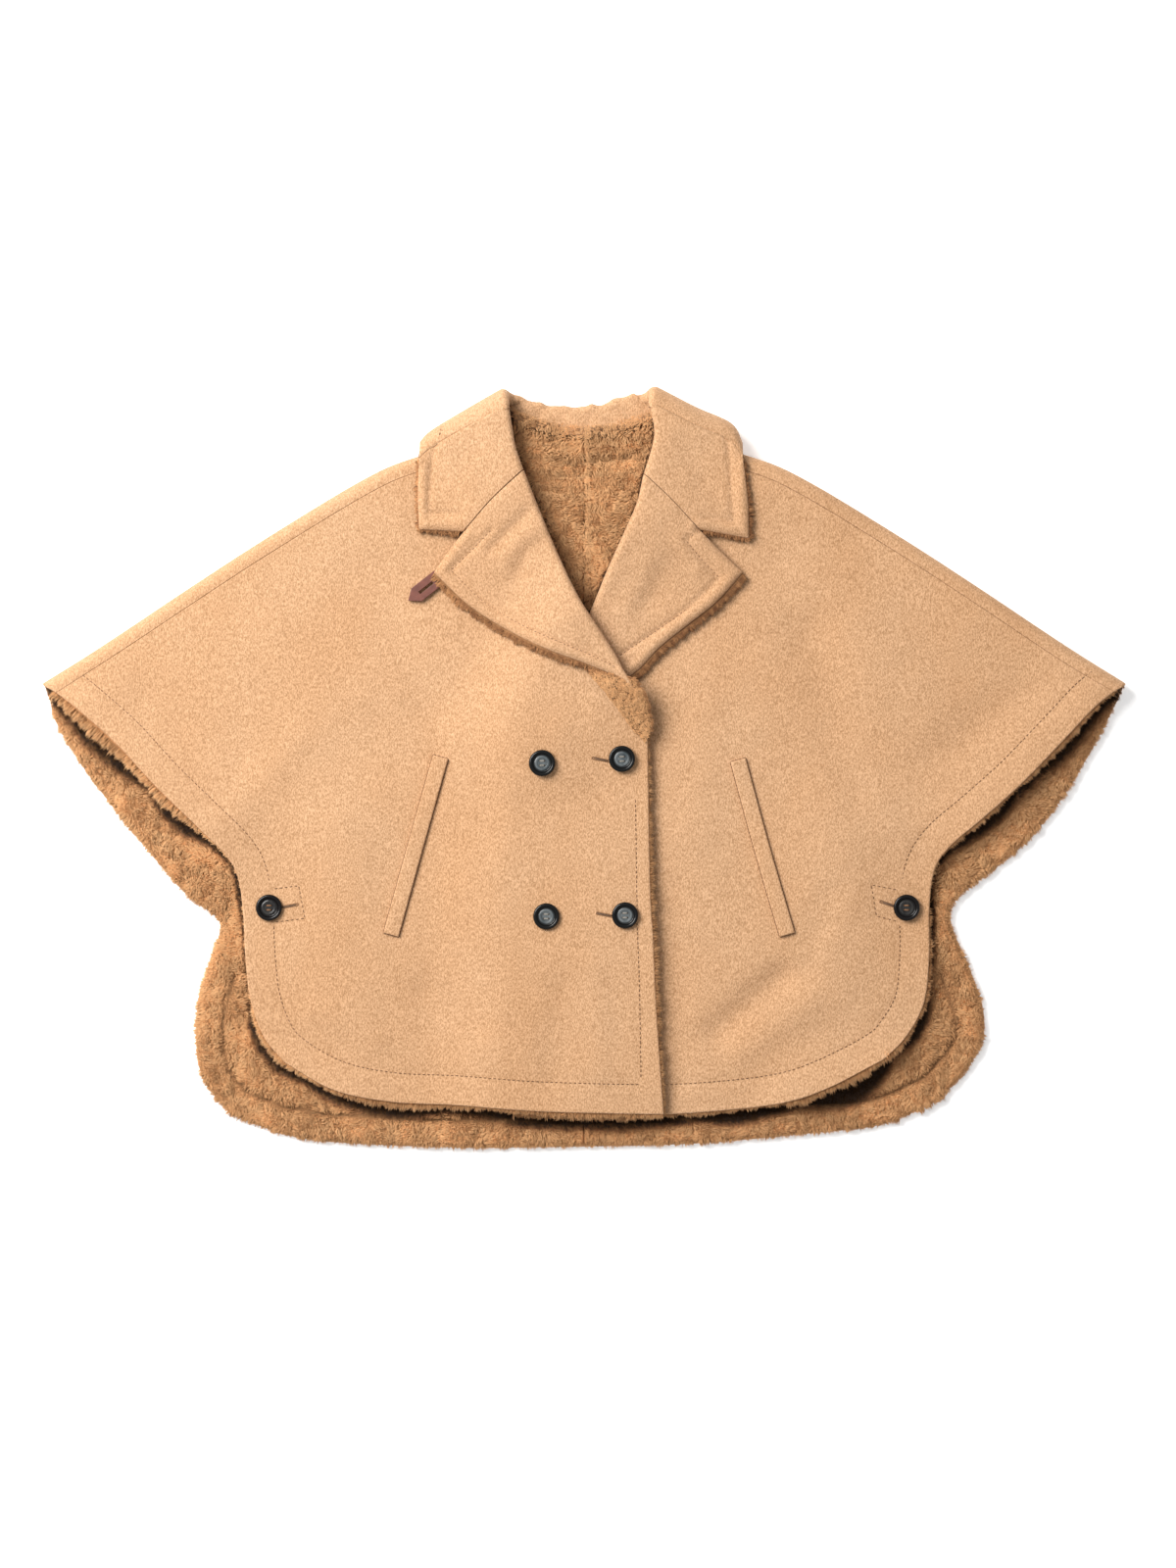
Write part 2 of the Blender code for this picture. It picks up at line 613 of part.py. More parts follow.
def build():
    clear_scene()
    cape = bpy.data.collections.new("wool_cape")
    cutters = bpy.data.collections.new("cutters")
    bpy.context.scene.collection.children.link(cape)
    bpy.context.scene.collection.children.link(cutters)

    wool = ("wool", (0.80, 0.50, 0.28), 0.95)
    shearling = ("shearling", (0.45, 0.22, 0.09), 1.0)
    horn = ("horn", (0.16, 0.15, 0.15), 0.35)
    dark_horn = ("dark_horn", (0.07, 0.05, 0.045), 0.35)
    leather = ("leather", (0.33, 0.11, 0.09), 0.5)

    shoulder_spans = 13
    back = {"shoulder_spans": shoulder_spans, "neck_spans": 8, "rows": 14}
    grid, skipped = back_shell_grid(**back, turns=6)
    add_wall("back_shell", grid, WOOL, cape, wool, skipped)

    plan = back_plan(**back)
    middle = plan.shape[1] // 2
    halves = (("back_lining_right", plan[:, : middle + 1]), ("back_lining_left", plan[:, middle:]))
    for name, half in halves:
        right = name.endswith("right")
        near, far = (1.0, -SEAM / 2) if right else (-SEAM / 2, 1.0)
        half = grown(half, near=near, far=far, end=1.0)
        height = BACK_LINING_LEVEL + PILE / 2 + neck_rise(half[..., 0], half[..., 1])
        add_wall(name, raised(half, height), PILE, cape, shearling)

    for side, word in ((-1, "right"), (1, "left")):
        plan = front_plan(side, columns=shoulder_spans, roll_rows=9, edge_rows=7)
        shell = front_grid(side, FRONT_SHELL_LEVEL, WOOL, plan)
        add_wall(f"front_{word}_shell", shell, WOOL, cape, wool)
        furred = grown(plan, near=0.0, far=2.5, start=3.0, end=PILE_REACH)
        lining = front_grid(side, FRONT_LINING_LEVEL, PILE, furred)
        add_wall(f"front_{word}_lining", lining, PILE, cape, shearling)
        add_wall(f"lapel_{word}_shell", lapel_shell_grid(side, 6), WOOL, cape, wool)
        add_wall(f"lapel_{word}_lining", lapel_lining_grid(side, 6), UNDER_PILE, cape, shearling)
        add_wall(f"pocket_welt_{word}", welt_grid(side, 8, 2), WOOL, cape, wool)

    collar = {"rows": 5, "columns": 5, "turns": 7, "back_rows": 8}
    add_wall("collar_shell", collar_shell_grid(**collar), WOOL, cape, wool)
    add_wall("collar_lining", collar_lining_grid(**collar), UNDER_PILE, cape, shearling)

    add_buttons(cape, cutters, horn, dark_horn)
    add_tab(cape, leather)


build()
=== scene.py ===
"""The looks of the wool cape: camel wool, shearling lining, horn buttons and stitching.

The tables and the form functions repeat those of the construction, in millimetres. +X is the
wearer's left, +Y runs towards the collar and +Z is up. Every cloth piece is a fine grid of points
on its middle surface, closed into a wall with rounded edges. What is made from it is in metres.
"""

import math

import bmesh
import bpy
import numpy as np
from mathutils import Matrix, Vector
from mathutils.kdtree import KDTree


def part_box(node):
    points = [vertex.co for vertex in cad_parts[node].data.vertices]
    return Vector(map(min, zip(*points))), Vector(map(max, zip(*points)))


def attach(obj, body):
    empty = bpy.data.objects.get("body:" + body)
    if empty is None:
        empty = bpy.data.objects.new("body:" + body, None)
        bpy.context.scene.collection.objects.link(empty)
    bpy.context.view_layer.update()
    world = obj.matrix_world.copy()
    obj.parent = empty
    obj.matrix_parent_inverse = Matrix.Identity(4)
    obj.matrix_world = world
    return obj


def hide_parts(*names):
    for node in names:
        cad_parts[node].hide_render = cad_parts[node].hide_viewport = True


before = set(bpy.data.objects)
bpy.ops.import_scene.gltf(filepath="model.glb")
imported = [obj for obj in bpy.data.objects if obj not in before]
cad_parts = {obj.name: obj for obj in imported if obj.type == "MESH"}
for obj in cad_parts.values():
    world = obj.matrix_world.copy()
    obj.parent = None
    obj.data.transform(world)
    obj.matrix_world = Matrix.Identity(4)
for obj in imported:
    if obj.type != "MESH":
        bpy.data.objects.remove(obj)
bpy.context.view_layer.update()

MM = 0.001

# ---------------- sizes, as in the construction

WOOL = 2.5
PILE = 7.0
UNDER_PILE = 3.5
SEAM = 0.3
EASE = 1.2
LOFT = 2.0
BACK_LINING_LEVEL = WOOL + SEAM
FRONT_LINING_LEVEL = BACK_LINING_LEVEL + PILE + LOFT
FRONT_SHELL_LEVEL = FRONT_LINING_LEVEL + PILE + SEAM
TURNED = EASE + UNDER_PILE + SEAM + WOOL
OVERLAP_RISE = FRONT_SHELL_LEVEL + WOOL + EASE - FRONT_LINING_LEVEL
SHOULDER_SEAM_INSET = 15.0
COLLAR_FOLD_INSET = 18.0
ROLL_RADIUS = 4.0
NECK_ROLL_RADIUS = 6.3
ROLL_HEM = 5.0
FOLD_SLACK = 1.8
WELT_SEAT = 0.9
WELT_HALF_WIDTH = 7.5

SHOULDER = [(519, 80), (465, 114), (390, 164), (315, 213), (240, 259), (190, 286), (150, 300), (84, 319)]
FRONT_WING = {  # measured outwards from the centre line, as are the next three
    -1: [(504, 71), (483, 55), (446, 22), (409, -18), (371, -55), (343, -83), (331, -105), (326, -140),
         (324, -180), (319, -222), (306, -258), (286, -282)],
    1: [(506, 72), (487, 57), (454, 22), (416, -17), (379, -50), (350, -75), (335, -98), (330, -135),
        (330, -180), (325, -225), (308, -257), (286, -279)],
}
FRONT_HEM = {
    -1: [(286, -282), (240, -308), (184, -320), (118, -323), (48, -328), (-13, -330), (-76, -331)],
    1: [(286, -279), (229, -308), (182, -322), (110, -330), (40, -333), (-20, -332), (-69, -331)],
}
BACK_WING = {
    -1: [(513, 65), (508, 45), (483, 3), (452, -39), (417, -82), (380, -124), (350, -148), (357, -178),
         (369, -215), (373, -255), (367, -297), (340, -333)],
    1: [(513, 66), (506, 52), (489, 20), (462, -25), (431, -65), (396, -96), (360, -124), (352, -148),
        (371, -195), (384, -238), (377, -275), (342, -319)],
}
BACK_HEM = [(-340, -333), (-277, -355), (-202, -362), (-109, -365), (0, -364), (109, -361), (219, -351),
            (285, -343), (342, -319)]
NECK_HALF_WIDTH = 65
NECK_SEAM_LOW, NECK_SEAM_BEND = 315, 0.0033
ROLL = {
    -1: [(-57.8, 283.6), (-43, 246), (-24, 201), (-4, 160), (19, 125), (40, 91), (56, 59)],
    1: [(56.8, 279.6), (51, 254), (41, 230), (22, 188), (4, 145), (-18, 105), (-40, 68), (-52, 50)],
}
ROLL_AT_NECK = {
    -1: [(-58, 284.4), (-65, 305), (-68, 321), (-72, 346)],
    1: [(57, 280.4), (64, 303), (67, 321), (68, 346)],
}
FRONT_EDGE = {
    -1: [(60, 44), (61, 7), (63, -110), (66, -163), (69, -230), (76, -331)],
    1: [(-56, 38), (-60, 0), (-64, -110), (-67, -220), (-69, -331)],
}
LAPEL_TOP = {
    -1: [(-57.8, 283.6), (-86, 257), (-113, 226), (-129, 206), (-143, 186)],
    1: [(56.8, 279.6), (80, 258), (108, 228), (130, 206), (151, 186)],
}
LAPEL_EDGE = {
    -1: [(-143, 186), (-109, 154), (-71, 130), (-34, 112), (4, 98), (30, 86), (50, 68)],
    1: [(151, 186), (126, 158), (97, 135), (71, 114), (46, 89), (0, 66), (-42, 50)],
}
COLLAR_END = {-1: [(-113, 226.4), (-157, 227.5)], 1: [(108, 228.4), (157, 219)]}
GORGE = {
    -1: [(-57.9, 283.8), (-86, 257.3), (-113, 226.4)],
    1: [(56.9, 279.8), (80, 258.3), (108, 228.4)],
}
COLLAR_EDGE = {-1: [(-157, 227.5), (-158, 256), (-158, 285)], 1: [(157, 219), (156, 251), (154, 287)]}
COLLAR_FOLD = {
    -1: [(-77, 363), (-112, 343), (-145, 323), (-157, 311)],
    1: [(67, 365), (104, 346), (139, 330), (151, 310)],
}
COLLAR_BACK_ROLL = [(-61, 355), (-43, 347), (-20, 344), (0, 344), (20, 347), (38, 354), (52, 358)]
COLLAR_BACK_EDGE = [(-150, 287), (-110, 264), (-55, 252), (0, 249), (55, 252), (108, 264), (146, 289)]
FOLDS = [  # a ridge's two ends, its reach to each side and its height
    ((-478, 45), (-372, -62), 46, 8.0),
    ((484, 45), (380, -58), 46, 9.0),
    ((205, -322), (292, -292), 34, 8.0),
    ((-285, -300), (-230, -322), 26, 4.0),
    ((-235, -60), (-225, -215), 42, 3.0),
    ((250, -40), (238, -210), 42, 3.5),
]
WELTS = {
    -1: [(-137, 10), (-161, -75), (-184.5, -160)],
    1: [(147, 7), (169, -74), (194, -160)],
}
BUTTONS = {  # each one's centre
    "button_front_upper_right": (-40, 4),
    "button_front_upper_left": (36, 8),
    "button_front_lower_right": (-36, -142),
    "button_front_lower_left": (39, -141),
    "button_side_right": (-301, -134),
    "button_side_left": (308, -134),
}
TAB_OUTLINE = [(-143, 188), (-165, 171), (-168, 159), (-155, 158.5), (-132.5, 176.5)]
TAB_SLOT = ((-157.2, 166.6), (-144.6, 176.4))
TAB_SLOT_HALF_WIDTH, TAB_HALF_THICKNESS, TAB_ROUND = 1.3, 1.0, 0.45

# ---------------- sizes of the looks

SIDES = ((-1, "right"), (1, "left"))  # as the wearer has them
WOOL_RIM = 1.6  # how far in from its edge the wool is rounded
SEAM_RIM = 0.4  # the same where it is sewn to its neighbour
SEWN_GAP = 0.08
FUR_RIM = 3.0
RIM_STEPS = (0.15, 0.4, 0.9, 1.6, 2.5)  # where the grids have extra lines beside an edge
SKIN = 4.4  # the back lining's skin, under its pile
FUR_INSET = 3.0  # the skin ends this far inside the outline, and the pile reaches it
HEM_STITCH = 28.5  # from the front's outline to its topstitching
FRONT_SEWING = (0.32, 4.5, 3.3, 0.95)  # how deep a stitch sinks, its pitch, length and width
TURNED_SEWING = (0.1, 4.2, 3.0, 0.95)
WELT_SEWING = (-0.1, 3.4, 3.9, 0.9)
STITCH_RINGS = ((-0.5, 0.35, -0.35), (-0.28, 1.0, 0.12), (0.28, 1.0, 0.12), (0.5, 0.35, -0.35))
HOLE_BARS = 22  # threads along each side of a buttonhole
GROOVE, TURNED_GROOVE = (0.55, 3.2), (1.7, 2.6)  # depth and reach of the channel of topstitching
GORGE_GROOVE = (0.7, 3.5)
TURNED_CROWN = 8.0  # how far the collar and the lapels stand up where they turn over
EDGE_DROP, EDGE_ROUND, EDGE_PUFF = 2.0, 5.0, 1.3  # the soft round of the collar's and lapels' edges
FACING_WIDTH = 27
UNDER_PAINTED_SHADE = 0.5  # painted shade on the pile's skin under the collar and the lapels: how light it is
WELT_RIM, ROLLED_RIM = 1.3, 1.2
UP = np.array((0.0, 0.0, 1.0))

# How close the lines of the grids are
BACK_STEP, BACK_FUR_STEP = 8.0, 7.5
FRONT_STEP, FRONT_FUR_STEP = 3.9, 8.5
LAPEL_STEP, COLLAR_STEP, TURNED_FUR_STEP = 2.6, 2.9, 4.0
FOLD_STEPS, ROLL_STEPS = 16, 9  # how many lines go round a folded and round a rolled edge
GROWN_REACH = 24.0  # how far in from a moved side a grid follows it
LINE_POINTS = 24  # on a line of stitching or on an edge beside which the cloth is shaped

# The pile's strands: lengths, how many there are and tones from 0, dark, to 1, light
BACK_STRAND, RIM_STRAND, FRONT_STRAND, LAPEL_STRAND, BREAK_STRAND = 6.6, 7.2, 6.5, 7.4, 4.6
COLLAR_STRAND, COLLAR_CLIPPED = 6.2, 3.6  # the second along its right edge
STRAND_WIDTH = 0.66
STRANDS_PER_MM2, BREAK_PER_MM2 = 0.96, 3.0
RIM_PER_MM, FRONT_PER_MM, LAPEL_PER_MM, COLLAR_PER_MM = 6.5, 15.0, 20.0, 18.0
PATCH_SIDE = 8.0  # of the squares in which they are spread
LOCK_CELLS = (97, 89)  # how many locks there are before their numbers repeat
FOOT_TONE, MIDDLE_TONE, TIP_TONE = 0.46, 0.66, 0.86
RIM_TONE, BREAK_TONE = 0.9, 0.92

# The stage, in metres and watts
FLOOR_SIZE, FLOOR_DROP, FLOOR_GLOW = 40.0, 0.0004, 0.38  # half its side, its depth and its own light
SKY_LIGHT, WINDOW_POWER, WINDOW_SIDE = 0.42, 186, 1.9
WINDOW_PLACE = (-1.95, 1.38, 2.42)
CAMERA_PLACE = (0.0037, -0.0159, 4.184)

GAPS = [  # where the fronts stand off the back: a place, its reach and the width of the shadow there
    (-455, 30, 75, 25), (-385, -38, 50, 20), (-330, -110, 34, 4), (-300, -280, 50, 15),
    (-200, -325, 90, 15), (0, -333, 150, 15), (150, -325, 70, 16), (258, -312, 46, 30),
    (318, -250, 40, 12), (334, -150, 50, 6), (455, 30, 80, 15), (385, -45, 50, 15),
]
FRINGES = [  # where the front's lining stands out past the wool: a place, its reach and how far
    (-460, 40, 75, 11.0), (-400, -25, 48, 9.0), (-300, -270, 40, 7.0), (-180, -322, 90, 6.0),
    (0, -332, 120, 5.0), (330, -200, 60, 4.0), (300, -280, 30, 7.5), (262, -302, 30, 10.0),
    (215, -318, 28, 7.0), (120, -330, 60, 3.0), (450, 30, 60, 5.0), (380, -50, 40, 4.0),
    (66, -150, 170, 7.5),
]

# Soft creases and hollows of the wool: two ends, reach to each side, height
FRONT_CREASES = {
    -1: [
        ((-150, -214), (-105, -246), 16, -1.6),
        ((-420, 66), (-330, 10), 20, -1.2),
        ((-300, 120), (-235, 60), 30, 1.4),
        ((-210, 180), (-150, 60), 26, -1.2),
        ((-330, -40), (-270, 30), 18, 1.0),
        ((-90, 90), (-96, -60), 24, -0.9),
        ((-20, -210), (-30, -300), 16, -1.0),
        ((10, -190), (14, -290), 14, 0.8),
        ((-255, -230), (-200, -262), 14, 1.1),
    ],
    1: [
        ((128, -252), (190, -200), 15, -3.2),
        ((150, -275), (215, -225), 14, 1.4),
        ((86, -120), (92, -300), 15, -1.0),
        ((420, 70), (340, 12), 20, -1.1),
        ((230, 190), (330, 60), 32, 1.3),
        ((215, 130), (262, -20), 24, -2.0),
        ((300, -60), (252, 20), 18, 0.9),
        ((120, 90), (108, -60), 22, 1.0),
        ((235, -120), (212, -190), 13, -1.0),
    ],
}
TURNED_CREASES = {  # on the lapels and the collar
    -1: [
        ((-88, 208), (-54, 242), 7, -1.8),
        ((-72, 200), (-44, 226), 8, 1.0),
        ((-66, 178), (-54, 210), 9, -1.1),
        ((-130, 300), (-96, 246), 14, 0.8),
        ((-30, 150), (-6, 128), 9, 0.7),
    ],
    1: [
        ((62, 160), (84, 196), 14, -1.3),
        ((40, 150), (60, 188), 10, 0.8),
        ((96, 300), (124, 262), 14, -0.9),
        ((110, 190), (92, 214), 8, 0.7),
    ],
}
NECK_CREASES = [  # in the lining at the back of the neck
    ((-52, 303), (-8, 297), 4.0, 2.0),
    ((-20, 290), (44, 296), 4.5, -2.0),
    ((0, 303), (50, 306), 4.0, 1.8),
    ((-44, 289), (-16, 285), 3.5, 1.4),
    ((-34, 278), (20, 280), 4.0, -1.2),
]
STAND_PUCKERS = [  # round the back of the neck: x, reach, height
    (-64, 3.0, -2.0), (-56, 4.5, 1.6), (-44, 3.2, -1.8), (-35, 4.5, 1.2), (-20, 3.2, -0.9),
    (-10, 5.0, 1.0), (6, 3.0, -2.4), (15, 4.5, 1.6), (27, 3.4, -1.4), (36, 4.0, 1.5),
    (45, 3.0, -1.9), (54, 4.5, 1.4), (63, 3.0, -1.6),
]
TURNED_STITCHING = {  # lines of topstitching on the turned collar and lapel
    -1: {
        "collar": [[(-136, 324), (-142, 300), (-145, 272), (-147, 243)], [(-147, 243), (-115, 243)]],
        "lapel": [[(-88, 226), (-108, 206), (-127, 188)],
                  [(-127, 188), (-98, 160), (-64, 138), (-28, 121), (6, 107), (30, 95)]],
    },
    1: {
        "collar": [[(133, 322), (137, 296), (139, 264), (141, 234)], [(141, 234), (112, 239)]],
        "lapel": [[(97, 216), (112, 198), (129, 181)], [(129, 181), (104, 156), (74, 134), (30, 104)],
                  [(97, 216), (109, 226)]],
    },
}
SIDE_BOXES = {  # the stitched patch round a side buttonhole
    -1: [(-297, -116), (-273, -113), (-267, -144), (-296, -148)],
    1: [(299, -117), (274, -112), (279, -142), (299, -147)],
}
BREAK_FUR = [(2, 92), (29, 88), (48, 84), (60, 61), (63, 36), (57, 26), (46, 36), (27, 63)]
SPOKES_AT = (292, -238)  # the back's left corner, where the pile is gathered like spokes
BUTTONHOLES = [  # its two ends, side of the front
    ((8, 9), (23, 6), -1),
    ((12, -139), (27, -142), -1),
    ((-290, -134), (-274, -131), -1),
    ((283, -128), (297, -133), 1),
]


# ---------------- curves and grids in plan


def run_of(points):
    """How far along a line of points each of them lies."""
    return np.append(0, np.cumsum(np.linalg.norm(np.diff(points, axis=0), axis=1)))


def smooth(points, at):
    """The points at these shares of the length of a Catmull-Rom curve, or so many spread evenly."""
    at = np.linspace(0, 1, at) if isinstance(at, int) else at
    p = np.array(points, float)
    p = np.vstack((2 * p[0] - p[1], p, 2 * p[-1] - p[-2]))
    t = np.linspace(0, 1, 24, endpoint=False)[:, None]
    spans = []
    for a, b, c, d in zip(p, p[1:], p[2:], p[3:]):
        spans.append(b + (c - a) * t / 2 + (2 * a - 5 * b + 4 * c - d) * t**2 / 2
                     + (3 * b - a - 3 * c + d) * t**3 / 2)
    curve = np.vstack((*spans, p[-2]))
    along = run_of(curve)
    return np.column_stack([np.interp(along[-1] * at, along, values) for values in curve.T])


def shares(length, step, rims=(True, True)):
    """Shares of a length, about a step apart, with extra ones beside each end that has a rim."""
    inner = np.linspace(0, 1, max(3, round(length / step)) + 1)
    close = np.array(RIM_STEPS) / length
    limit = 1.4 * close[-1]
    extra = [[0.0, 1.0]]
    if rims[0]:
        inner = inner[inner > limit]
        extra.append(close)
    if rims[1]:
        inner = inner[inner < 1 - limit]
        extra.append(1 - close)
    return np.unique(np.concatenate((inner, *extra)))


def plan_of(grid):
    """The x and the y of a grid's points."""
    return grid[..., 0], grid[..., 1]


def middle_of(grid):
    return grid[..., :2].reshape(-1, 2).mean(axis=0)


def mirrored(points, side):
    return [(side * x, y) for x, y in points]


def patch(near, far, start, end, v, u):
    """A Coons patch with rows at the shares v of near and far, and columns at u of start and end."""
    v = v[:, None, None]
    u = u[None, :, None]
    across = (1 - u) * near[:, None] + u * far[:, None]
    down = (1 - v) * start[None] + v * end[None]
    corners = (1 - v) * ((1 - u) * near[0] + u * far[0]) + v * ((1 - u) * near[-1] + u * far[-1])
    return across + down - corners


def unit(vector):
    return np.array(vector, float) / np.linalg.norm(vector)


def unit_rows(vectors):
    return vectors / np.linalg.norm(vectors, axis=-1, keepdims=True)


def turned_right(direction):
    return np.column_stack((direction[:, 1], -direction[:, 0]))


def grown(grid, near=0.0, far=0.0, start=0.0, end=0.0):
    """The grid with its sides moved outwards in plan, and what lies close to them less and less."""
    moved = grid.copy()
    for axis, flip, distance in ((1, False, near), (1, True, far), (0, False, start), (0, True, end)):
        if not distance:
            continue
        lines = np.moveaxis(grid, axis, 0)
        target = np.moveaxis(moved, axis, 0)
        if flip:
            lines = lines[::-1]
            target = target[::-1]
        step = np.linalg.norm(np.diff(lines, axis=0), axis=-1)
        depth = np.concatenate((np.zeros((1, step.shape[1])), np.cumsum(step, axis=0)))
        inner = np.argmax(depth.mean(axis=1) > 6.0)
        outwards = unit_rows(lines[0] - lines[inner])
        share = np.clip(1 - depth / GROWN_REACH, 0, 1)[..., None]
        target += outwards[None] * distance * share
    return moved


def neck_seam(x):
    return NECK_SEAM_LOW + NECK_SEAM_BEND * x**2


def inside(x, y, outline):
    """Which points lie inside a closed outline."""
    found = np.zeros(np.shape(x), bool)
    ring = np.array(outline, float)
    for (ax, ay), (bx, by) in zip(ring, np.roll(ring, -1, axis=0)):
        crosses = (ay > y) != (by > y)
        found ^= crosses & (x < ax + (y - ay) * (bx - ax) / (by - ay + 1e-12))
    return found


def off_line(x, y, line):
    """Distance from a line of points, and the unit direction from it to each place."""
    best = np.full(np.shape(x), np.inf)
    away = np.zeros((*np.shape(x), 2))
    for (ax, ay), (bx, by) in zip(line[:-1], line[1:]):
        dx, dy = bx - ax, by - ay
        t = np.clip(((x - ax) * dx + (y - ay) * dy) / (dx * dx + dy * dy + 1e-12), 0, 1)
        offset = np.stack((x - ax - t * dx, y - ay - t * dy), axis=-1)
        distance = np.linalg.norm(offset, axis=-1)
        nearer = distance < best
        best = np.where(nearer, distance, best)
        away[nearer] = offset[nearer] / (distance[nearer][:, None] + 1e-9)
    return best, away


# ---------------- heights


def ease_step(t):
    t = np.clip(t, 0, 1)
    return t * t * (3 - 2 * t)


def off_segment(x, y, a, b):
    """Distance from a segment, and how far along it the nearest point lies, from 0 to 1."""
    (ax, ay), (bx, by) = a, b
    dx, dy = bx - ax, by - ay
    t = np.clip(((x - ax) * dx + (y - ay) * dy) / (dx * dx + dy * dy), 0, 1)
    return np.hypot(x - ax - t * dx, y - ay - t * dy), t


def ridges(x, y, table):
    height = np.zeros(np.shape(x))
    for a, b, reach, rise in table:
        height = height + rise * np.exp(-((off_segment(x, y, a, b)[0] / reach) ** 2))
    return height


def waves(x, y, length, seed, count=9):
    """A smooth uneven field of about that wavelength, mostly from -1 to 1."""
    rng = np.random.default_rng(seed)
    total = np.zeros(np.shape(x))
    for _ in range(count):
        angle = rng.uniform(0, 2 * math.pi)
        phase = rng.uniform(0, 2 * math.pi)
        turn = 2 * math.pi / (length * rng.uniform(0.7, 1.5))
        total += np.sin((x * math.cos(angle) + y * math.sin(angle)) * turn + phase)
    return total / math.sqrt(2 * count)


def neck_rise(x, y):
    """How far the back of the collar, which lies under the neck, lifts what lies on it."""
    reach = np.hypot((x + 2) / 160, (y - 330) / 82)
    return TURNED * (1 - ease_step((reach - 1.1) / 1.1))


def overlap_rise(x, y):
    """How far the right front rises over the left one and over its lapel."""
    left_edge = np.where(y > 38, -58 + (y - 38) * 0.57, -58 - (38 - y) * 0.03)
    over_front = ease_step((x - left_edge + 92) / 86)
    distance, along = off_segment(x, y, (22, 118), (-48, 46))
    over_lapel = 1 - ease_step((distance - 38 + 26 * along) / 90)
    return OVERLAP_RISE * over_front + TURNED * over_lapel


def front_level(x, y, side):
    """How far a front lies above its place on a flat cape, with its creases."""
    level = neck_rise(x, y) + ridges(x, y, FOLDS) + 1.5 * ridges(x, y, FRONT_CREASES[side])
    level = level + 0.6 * waves(x, y, 105, 3 + side) + 0.16 * waves(x, y, 34, 8 + side)
    return level + overlap_rise(x, y) if side < 0 else level


def front_top(x, y, side):
    return FRONT_SHELL_LEVEL + WOOL + front_level(x, y, side)


def turned_top(x, y, side):
    """The top of a turned lapel or collar."""
    crown = TURNED_CROWN * ease_step(1 - (np.abs(x) - 60) / 95)
    height = front_top(x, y, side) + TURNED + 1.4 * ridges(x, y, TURNED_CREASES[side])
    height = height + 0.2 * waves(x, y, 30, 21 + side)
    return height + crown * ease_step((y - 110) / 120)


def back_lining_top(x, y):
    wrinkled = np.where(y > 268, ridges(x, y, NECK_CREASES), 0.0)
    return BACK_LINING_LEVEL + PILE + neck_rise(x, y) + wrinkled


def pressed(x, y, lines, depth, reach):
    """The shallow channel that topstitching pulls into the cloth."""
    height = np.zeros(np.shape(x))
    for line in lines:
        height = np.minimum(height, -depth * np.exp(-((off_line(x, y, line)[0] / reach) ** 2)))
    return height


def raised(plan, height):
    return np.dstack((plan, height))


# ---------------- folds and rolls


def folded(edge, upper, lower, high, low):
    """Rows that turn over a rounded edge from the upper inset line to the lower one, and their angles."""
    radius = ((high - low) / 2)[:, None]
    middle = (high + low) / 2
    angles = np.linspace(math.pi / 2, -math.pi / 2, FOLD_STEPS)
    rows = []
    for angle in angles:
        blend = (1 + math.sin(angle)) / 2
        inner = blend * upper + (1 - blend) * lower
        inset = np.linalg.norm(inner - edge, axis=1)[:, None]
        share = (radius * (1 - math.cos(angle)) + WOOL / 2) / inset
        height = middle + radius[:, 0] * math.sin(angle)
        rows.append(np.column_stack((edge + (inner - edge) * share, height)))
    return rows, angles


def with_roll(grid, normals, radii, hems):
    """The grid with columns added before its first: each row rolls over and under its near edge."""
    rolled = []
    for row, normal, radius, hem in zip(grid, normals, radii, hems):
        ahead = row[min(4, len(row) - 1)] - row[0]
        across = unit(ahead - normal * np.dot(ahead, normal))
        centre = row[0] - normal * radius
        column = [centre + across * hem * share - normal * radius for share in (1.0, 0.9, 0.7, 0.4)]
        for angle in np.linspace(-math.pi / 2, math.pi / 2, ROLL_STEPS, endpoint=False):
            column.append(centre - across * radius * math.cos(angle) + normal * radius * math.sin(angle))
        rolled.append(np.vstack((column, row)))
    return np.array(rolled)


# ---------------- the pieces' grids


def shoulder_lines(side, at):
    """The shoulder's fold from neck to tip, with the inset lines of the front and of the back."""
    edge = smooth(mirrored(SHOULDER[::-1], side), np.linspace(0, 1, 14) ** 1.3)
    inwards = unit_rows(turned_right(np.gradient(edge, axis=0))) * side
    front = edge + inwards * SHOULDER_SEAM_INSET
    back = front.copy()
    front[-1] = mirrored(FRONT_WING[side][:1], side)[0]
    back[-1] = mirrored(BACK_WING[side][:1], side)[0]
    return [smooth(line, at) for line in (edge, front, back)]


def back_plan(step):
    """The back's plan grid, and how many columns there are on each shoulder."""
    at = shares(480, step, (False, True))
    right = shoulder_lines(-1, at)[2][::-1]
    left = shoulder_lines(1, at)[2]
    neck = np.linspace(-NECK_HALF_WIDTH, NECK_HALF_WIDTH, round(2 * NECK_HALF_WIDTH / step) + 2)
    top = np.vstack((right, np.column_stack((neck, neck_seam(neck))), left))
    u = run_of(top) / run_of(top)[-1]
    v = shares(560, step, (False, True))
    wings = [smooth(mirrored(BACK_WING[side], side), v) for side in (-1, 1)]
    return patch(*wings, top, smooth(BACK_HEM, u), v, u), at


